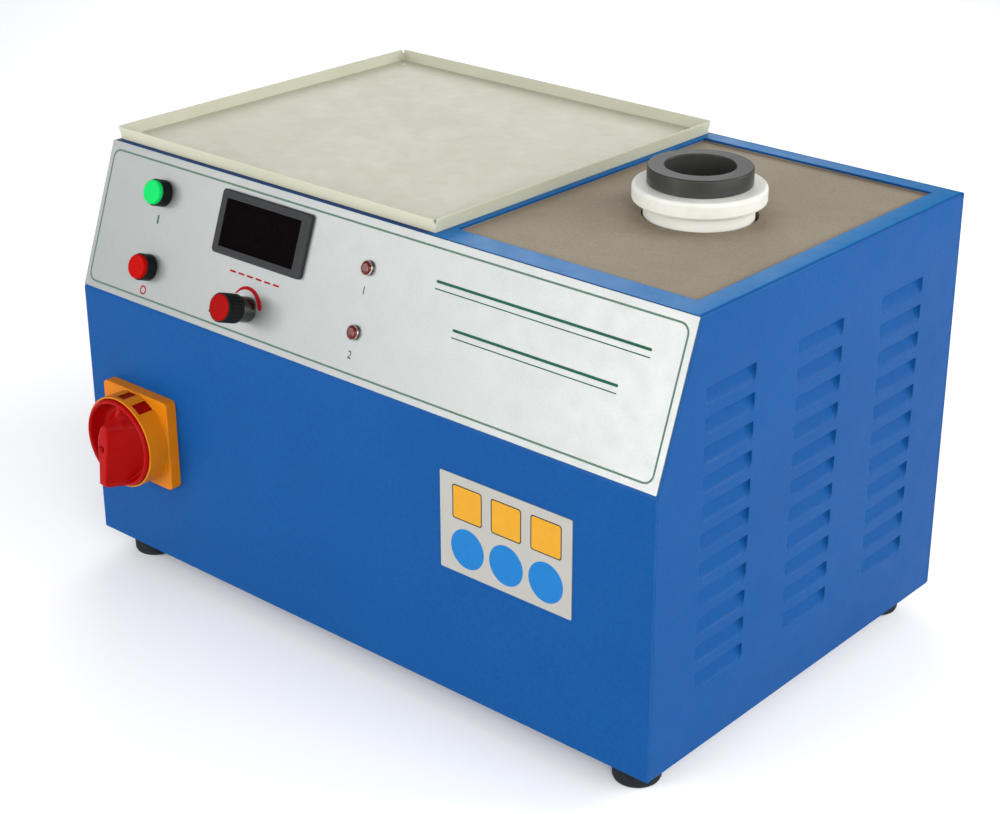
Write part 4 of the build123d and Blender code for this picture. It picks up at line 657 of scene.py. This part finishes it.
def keep_quad(i, j):
    a, b = grid[i][j], grid[i + 1][j + 1]
    if flat_from <= i < flat_to - 1:
        mx, my = (a[0] + b[0]) / 2, (a[1] + b[1]) / 2
        if 294.0 < mx < 469.5 and 52.5 < my < 299.0:
            return False
    # the slot between the sheet's edge and the pressing's lip stays open
    if abs(grid[i][j][2] - grid[i + 1][j][2]) < 0.001 and (i + 1 < flat_from or i >= flat_to):
        return False
    return True


cover = add("cover_sheet", grid_mesh("cover_sheet", grid, keep_quad), "blue", "cabinet")
solid = cover.modifiers.new("sheet", "SOLIDIFY")
solid.thickness = 0.0015
solid.offset = -1.0
solid.use_even_offset = False
finish_mesh(cover, 40.0)
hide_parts("cover")

# ------------------------------------------------------ isolator's handle
SW = plane(P(SW_X, 0, SW_Z), (1, 0, 0), (0, 0, 1), (0, -1, 0))
R_DRUM, R_LIP, FRONT_H, CREST_H, FLOOR_H = 30.3, 27.3, 26.0, 38.4, 14.8
GRIP_A, GRIP_END = math.radians(5), 28.2


def step(x, a, b):
    t = max(0.0, min(1.0, (x - a) / (b - a)))
    return t * t * (3 - 2 * t)


def soft_max(a, b, k):
    h = max(k - abs(a - b), 0.0) / k
    return max(a, b) + h * h * k * 0.25


def along(u, table):
    """smooth value between (u, value) pairs"""
    for (a, p), (b, q) in zip(table, table[1:]):
        if u <= b:
            return p + (q - p) * step(u, a, b) if u > a else p
    return table[-1][1]


# the grip's middle line and half width from its lower end to its tip and on to the lip
MIDDLE = ((-28.2, 0.0), (-6, 0.9), (5, 1.0), (20, 2.5), (28, 2.3))
HALF = ((-28.2, 3.1), (-12, 3.6), (1, 4.7), (5, 4.7), (14, 3.4), (20, 0.9), (28, 1.2))


def handle(x, z):
    r = math.hypot(x, z)
    # rounded lip, then a dish with a rounded foot
    lip = FRONT_H - 1.2 * step(r, R_DRUM - 1.1, R_DRUM + 0.1) - 0.8 * (1 - step(r, R_LIP, R_LIP + 1.4))
    d = max(0.0, R_LIP + 0.3 - r)
    base = lip if d <= 0 else FLOOR_H + (FRONT_H - 0.8 - FLOOR_H) * max(0.0, 1 - d / 7.5) ** 2.2
    # grip: a blade with broad hollow flanks; its crest ends in a round tip, and a soft ridge runs on to the lip
    v = x * math.cos(GRIP_A) - z * math.sin(GRIP_A)
    u = x * math.sin(GRIP_A) + z * math.cos(GRIP_A)
    crest = CREST_H - 10.2 * step(u, 17.2, 22.6) - 2.2 * step(u, 21.5, 28.0)
    crest -= 1.4 * step(-u, GRIP_END - 2.0, GRIP_END) ** 2
    half = along(u, HALF)
    a = abs(v - along(u, MIDDLE))
    side = max(0.0, a - half)
    run = 19.0 - 5.5 * step(u, 8, 24)
    far = CREST_H - 12.4 * step(u, 6.0, 28.0)
    flank = FLOOR_H + (crest + (far - crest) * step(side, 0.0, 5.0) - FLOOR_H) * max(0.0, 1 - side / run) ** 2.3
    blend = 1.1 + 1.9 * step(u, 8, 20)
    if side < blend:
        t = max(0.0, a - half + blend) / (2 * blend)
        flank = min(flank, crest - 1.6 * t * t)
    # the lower end closes the hollows with a wall that runs down to the lip
    wall = CREST_H - 12.4 * max(0.0, min(1.0, (a - 3.1) / 6.6))
    wall = FLOOR_H + (wall - FLOOR_H) * step(-u, GRIP_END - 6.5, GRIP_END - 1.0)
    if -u > GRIP_END - 6.5 and a < 10.5:
        flank = soft_max(flank, min(wall, crest), 1.2)
    if -u > GRIP_END:
        flank = 0.0
    top = soft_max(base, flank, 2.4) if flank > 0 else base
    # countersunk screw hole in the crest, on the axis
    top -= 0.7 * (1 - step(r, 2.2, 3.1)) + 3.0 * (1 - step(r, 1.5, 2.1))
    return min(top, CREST_H)


cols, rows_n = 188, 188
pts = []
for i in range(cols + 1):
    x = -R_DRUM * math.cos(math.pi * i / cols)
    x = 0.35 * x + 0.65 * (-R_DRUM + 2 * R_DRUM * i / cols)
    h = math.sqrt(max(0.0, R_DRUM ** 2 - x ** 2))
    col = []
    for j in range(rows_n + 1):
        t = -1 + 2 * j / rows_n
        z = t * h
        top = handle(x, z)
        col.append((x, z, top))
    pts.append(col)
bm = bmesh.new()
vs = [[bm.verts.new(p) for p in col] for col in pts]
for i in range(cols):
    for j in range(rows_n):
        bm.faces.new((vs[i][j], vs[i + 1][j], vs[i + 1][j + 1], vs[i][j + 1]))
loop = [vs[i][0] for i in range(cols + 1)] + [vs[cols][j] for j in range(1, rows_n + 1)]
loop += [vs[i][rows_n] for i in range(cols - 1, -1, -1)] + [vs[0][j] for j in range(rows_n - 1, 0, -1)]
last = loop
for h_drop in (24.2, 24.1, 5.9, 5.4):
    ring_v = []
    for v in loop:
        r = math.hypot(v.co.x, v.co.y)
        k = 1.0
        if h_drop < 24.2 and r > R_DRUM:
            k = R_DRUM / r
        if h_drop == 5.4:
            k *= (R_DRUM - 0.5) / R_DRUM
        ring_v.append(bm.verts.new((v.co.x * k, v.co.y * k, min(h_drop, v.co.z))))
    n = len(loop)
    for k in range(n):
        bm.faces.new((last[k], ring_v[k], ring_v[(k + 1) % n], last[(k + 1) % n]))
    last = ring_v
bm.faces.new(list(reversed(last)))
bmesh.ops.remove_doubles(bm, verts=bm.verts, dist=0.002)
bmesh.ops.recalc_face_normals(bm, faces=bm.faces)
handle_mesh = bpy.data.meshes.new("switch_grip")
bm.to_mesh(handle_mesh)
bm.free()
handle_mesh.transform(SW)
grip = add("switch_grip", handle_mesh, "red", "main_switch")
finish_mesh(grip, 50.0)
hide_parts("switch_handle")

# --------------------------------------------------- print on the faceplate
INK = 0.04
outline("print_border", ring(3.4, 3.9, 480.7, 94.3, 6.5, 1.25), INK, PANEL, "ink_border")


def smooth_line(pts, n=8):
    """Points along a smooth curve through pts, each (x, y, width)."""
    out = []
    ext = [pts[0]] + list(pts) + [pts[-1]]
    for a, b, c, d in zip(ext, ext[1:], ext[2:], ext[3:]):
        for k in range(n):
            t = k / n
            out.append(tuple(0.5 * (2 * q + (r - p) * t + (2 * p - 5 * q + 4 * r - s) * t * t
                                    + (3 * q - p - 3 * r + s) * t ** 3) for p, q, r, s in zip(a, b, c, d)))
    return out + [tuple(pts[-1])]


def stroke(pts, n=8):
    """Closed loop round a line of varying width, with round ends."""
    line = smooth_line(pts, n) if len(pts) > 2 else [tuple(q) for q in pts]
    left, right_side, last = [], [], len(line) - 1
    for i, (x, y, w) in enumerate(line):
        a, b = line[max(0, i - 1)], line[min(last, i + 1)]
        t = math.atan2(b[1] - a[1], b[0] - a[0])
        if i == 0:
            left += [(x + w / 2 * math.cos(t + math.radians(k)), y + w / 2 * math.sin(t + math.radians(k)))
                     for k in (180, 150, 120)]
        left.append((x - w / 2 * math.sin(t), y + w / 2 * math.cos(t)))
        right_side.append((x + w / 2 * math.sin(t), y - w / 2 * math.cos(t)))
        if i == last:
            left += [(x + w / 2 * math.cos(t + math.radians(k)), y + w / 2 * math.sin(t + math.radians(k)))
                     for k in (60, 30, 0, -30, -60)]
    return left + right_side[::-1]


# red sweep round the knob, thin at its start
sweep = stroke([(142.68, 28.36, 0.9), (145.92, 31.49, 1.7), (149.81, 33.41, 2.2), (154.17, 33.7, 2.4),
                (158.18, 32.68, 2.8), (161.54, 30.41, 3.1), (164.28, 27.47, 3.3), (166.16, 24.01, 3.3)])
outline("print_sweep", [sweep], INK, PANEL, "ink_red")
# in the places of the words: plain marks and numbers
outline("print_start_mark", [rounded(57.8, 54.4, 59.2, 60.2, 0.3)], INK, PANEL, "ink_green")
outline("print_stop_mark", [disc(58.0, 9.6, 3.0), disc(58.0, 9.6, 2.0)], INK, PANEL, "ink_red")
number("print_lamp_one", "1", 248.0, 55.4, 7.0, INK, PANEL, "ink_dark")
number("print_lamp_two", "2", 248.0, 15.6, 7.0, INK, PANEL, "ink_dark")
for k in range(6):
    x = 133.4 + 7.9 * k
    outline("print_meter_dash_%d" % k, [rounded(x, 40.4, x + 5.6, 41.6, 0.4)], INK, PANEL, "ink_red")
for k, (x0, x1, y, w) in enumerate(((302.0, 460.0, 74.6, 1.7), (302.0, 460.0, 70.2, 0.7),
                                    (322.0, 444.0, 50.1, 1.7), (322.0, 444.0, 45.7, 0.7))):
    outline("print_rule_%d" % k, [rounded(x0, y - w / 2, x1, y + w / 2, w / 2 - 0.02)], INK, PANEL, "ink_green")

# unlit digits behind the meter's window
SEG = {"a": (0, 9, 6, 9), "b": (6, 9, 6, 4.5), "c": (6, 4.5, 6, 0), "d": (0, 0, 6, 0), "e": (0, 4.5, 0, 0),
       "f": (0, 9, 0, 4.5), "g": (0, 4.5, 6, 4.5)}
for k in range(3):
    ox, oy = METER_X - 22.0 + 16.5 * k, METER_S - 8.6
    loops = []
    for x0, y0, x1, y1 in SEG.values():
        x0, y0, x1, y1 = (v * 1.9 for v in (x0, y0, x1, y1))
        dx, dy = (1.1, 0) if x0 != x1 else (0, -1.1)
        cx = [(x0 + dx, y0 + dy), (x1 - dx, y1 - dy)]
        (ax, ay), (bx, by) = cx
        w = 0.95
        if x0 != x1:
            hexa = [(ax - w + w, ay), (ax + w, ay + w), (bx - w, by + w), (bx, by), (bx - w, by - w), (ax + w, ay - w)]
        else:
            top, bot = max(ay, by), min(ay, by)
            hexa = [(ax, top), (ax + w, top - w), (ax + w, bot + w), (ax, bot), (ax - w, bot + w), (ax - w, top - w)]
        loops.append([(ox + x + 0.08 * y, oy + y) for x, y in hexa])
    loops.append(disc(ox + 14.2, oy + 0.2, 0.9, 16))
    outline("meter_digit_%d" % k, loops, 0.02, PANEL, "segment", lift=2.9)

# the blank plate's colour fields
for k in range(3):
    cx = 348.2 + 30.2 * k
    outline("plate_frame_%d" % k, [rounded(cx - 11.6, 121.2, cx + 11.6, 143.6, 2.0),
                                   rounded(cx - 10.9, 121.9, cx + 10.9, 142.9, 1.5)], INK, FRONT, "ink_dark",
            lift=0.6)
    outline("plate_amber_%d" % k, [rounded(cx - 10.9, 121.9, cx + 10.9, 142.9, 1.5)], INK, FRONT, "ink_amber",
            lift=0.6)
    outline("plate_blue_%d" % k, [disc(cx, 103.3, 13.0, 64)], INK, FRONT, "ink_blue", lift=0.6)

# ------------------------------------------------------- fan's wire guard
GUARD = plane(P(FAN_X, D, FAN_Z), (-1, 0, 0), (0, 0, 1), (0, 1, 0))


def wire(name, paths, r, where, mat, body, cyclic):
    cu = bpy.data.curves.new(name, "CURVE")
    cu.dimensions = "3D"
    cu.bevel_depth = r
    cu.bevel_resolution = 3
    cu.use_fill_caps = True
    for path, closed in zip(paths, cyclic):
        sp = cu.splines.new("POLY")
        sp.points.add(len(path) - 1)
        for p, c in zip(sp.points, path):
            p.co = (*c, 1)
        sp.use_cyclic_u = closed
    mesh = from_curve(cu, where, 0)
    mesh.shade_smooth()
    return add(name, mesh, mat, body)


def circle3(cx, cy, r, h, n=72):
    return [(cx + r * math.cos(2 * math.pi * k / n), cy + r * math.sin(2 * math.pi * k / n), h) for k in range(n)]


rings3 = [circle3(0, 0, r, 2.25) for r in (52.0, 42.0, 32.0, 22.0, 12.0)]
spokes, eyes = [], []
for turn in (45, 135, 225, 315):
    c, n = math.cos(math.radians(turn)), math.sin(math.radians(turn))
    spokes.append([(c * r, n * r, 2.75) for r in (10.5, 40.0, 69.9)])
    eyes.append(circle3(74.25 * c, 74.25 * n, 4.75, 2.6, 32))
guard = wire("guard_rings", rings3, 0.8, GUARD, "chrome", "cabinet", [True] * 5)
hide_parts("fan_guard")
wire("guard_spokes", spokes, 0.62, GUARD, "chrome", "cabinet", [False] * 4)
wire("guard_eyes", eyes, 0.75, GUARD, "chrome", "cabinet", [True] * 4)

# ------------------------------------------------------------------- world
world = bpy.data.worlds.new("studio")
bpy.context.scene.world = world
world.use_nodes = True
bg = world.node_tree.nodes["Background"]
bg.inputs[0].default_value = (0.94, 0.96, 1.0, 1.0)
bg.inputs[1].default_value = 0.36

floor_mesh = bpy.data.meshes.new("floor")
bm = bmesh.new()
bmesh.ops.create_grid(bm, x_segments=1, y_segments=1, size=9.0)
bm.to_mesh(floor_mesh)
bm.free()
floor = bpy.data.objects.new("floor", floor_mesh)
bpy.context.scene.collection.objects.link(floor)
fm = Mat("mat_floor", spec=0.15)
fm.color(fm.mix(fm.range(fm.noise(1.5, 2), 0.3, 0.7, 0, 1), (0.91, 0.91, 0.91, 1), (0.93, 0.93, 0.93, 1)))
fm.rough(0.85)
floor_mesh.materials.append(fm.m)


def softbox(name, loc, target, w, h, power, color=(1, 1, 1)):
    li = bpy.data.lights.new(name, "AREA")
    li.shape = "RECTANGLE"
    li.size, li.size_y = w, h
    li.energy = power
    li.color = color
    ob = bpy.data.objects.new(name, li)
    ob.location = loc
    ob.rotation_euler = (Vector(target) - Vector(loc)).to_track_quat("-Z", "Y").to_euler()
    bpy.context.scene.collection.objects.link(ob)
    return ob


softbox("light_top", (-0.25, 0.25, 1.9), (0, 0, 0.15), 1.8, 1.6, 4)
softbox("light_front_low", (-0.57, -2.15, 0.45), (0, 0, 0.15), 0.9, 0.8, 18)
softbox("light_front_left", (-1.3, -1.7, 1.0), (0, 0, 0.15), 1.1, 1.1, 16)
softbox("light_front", (-0.35, -2.2, 0.9), (0, 0, 0.15), 1.1, 1.1, 10)
softbox("light_camera", (1.75, -1.5, 1.15), (0, 0, 0.15), 1.2, 1.2, 37)
softbox("light_right", (2.3, 0.1, 0.9), (0, 0, 0.15), 1.2, 1.2, 23)
softbox("light_right_back", (1.7, 1.5, 1.2), (0, 0, 0.15), 1.2, 1.2, 38)
softbox("light_left_back", (-1.5, 1.6, 1.3), (0, 0, 0.15), 1.4, 1.2, 17)

# ------------------------------------------------------------------ camera
yaw, pitch, roll = math.radians(39.879), math.radians(23.878), math.radians(0.523)
fwd = Vector((-math.sin(yaw) * math.cos(pitch), math.cos(yaw) * math.cos(pitch), -math.sin(pitch)))
right = Vector((math.cos(yaw), math.sin(yaw), 0))
up = right.cross(fwd)
r2 = right * math.cos(roll) + up * math.sin(roll)
u2 = up * math.cos(roll) - right * math.sin(roll)
cam = bpy.data.cameras.new("camera")
cam.lens, cam.sensor_width, cam.sensor_fit = 73.33, 36.0, "HORIZONTAL"
cam.shift_x, cam.shift_y = -0.0507, -0.0153
cam.clip_start = 0.01
cam_ob = bpy.data.objects.new("camera", cam)
m = Matrix((r2, u2, -fwd)).transposed().to_4x4()
cam_ob.matrix_world = Matrix.Translation((0.8230, -0.9343, 0.6934)) @ m
bpy.context.scene.collection.objects.link(cam_ob)
bpy.context.scene.camera = cam_ob
bpy.context.scene.view_settings.view_transform = "Standard"
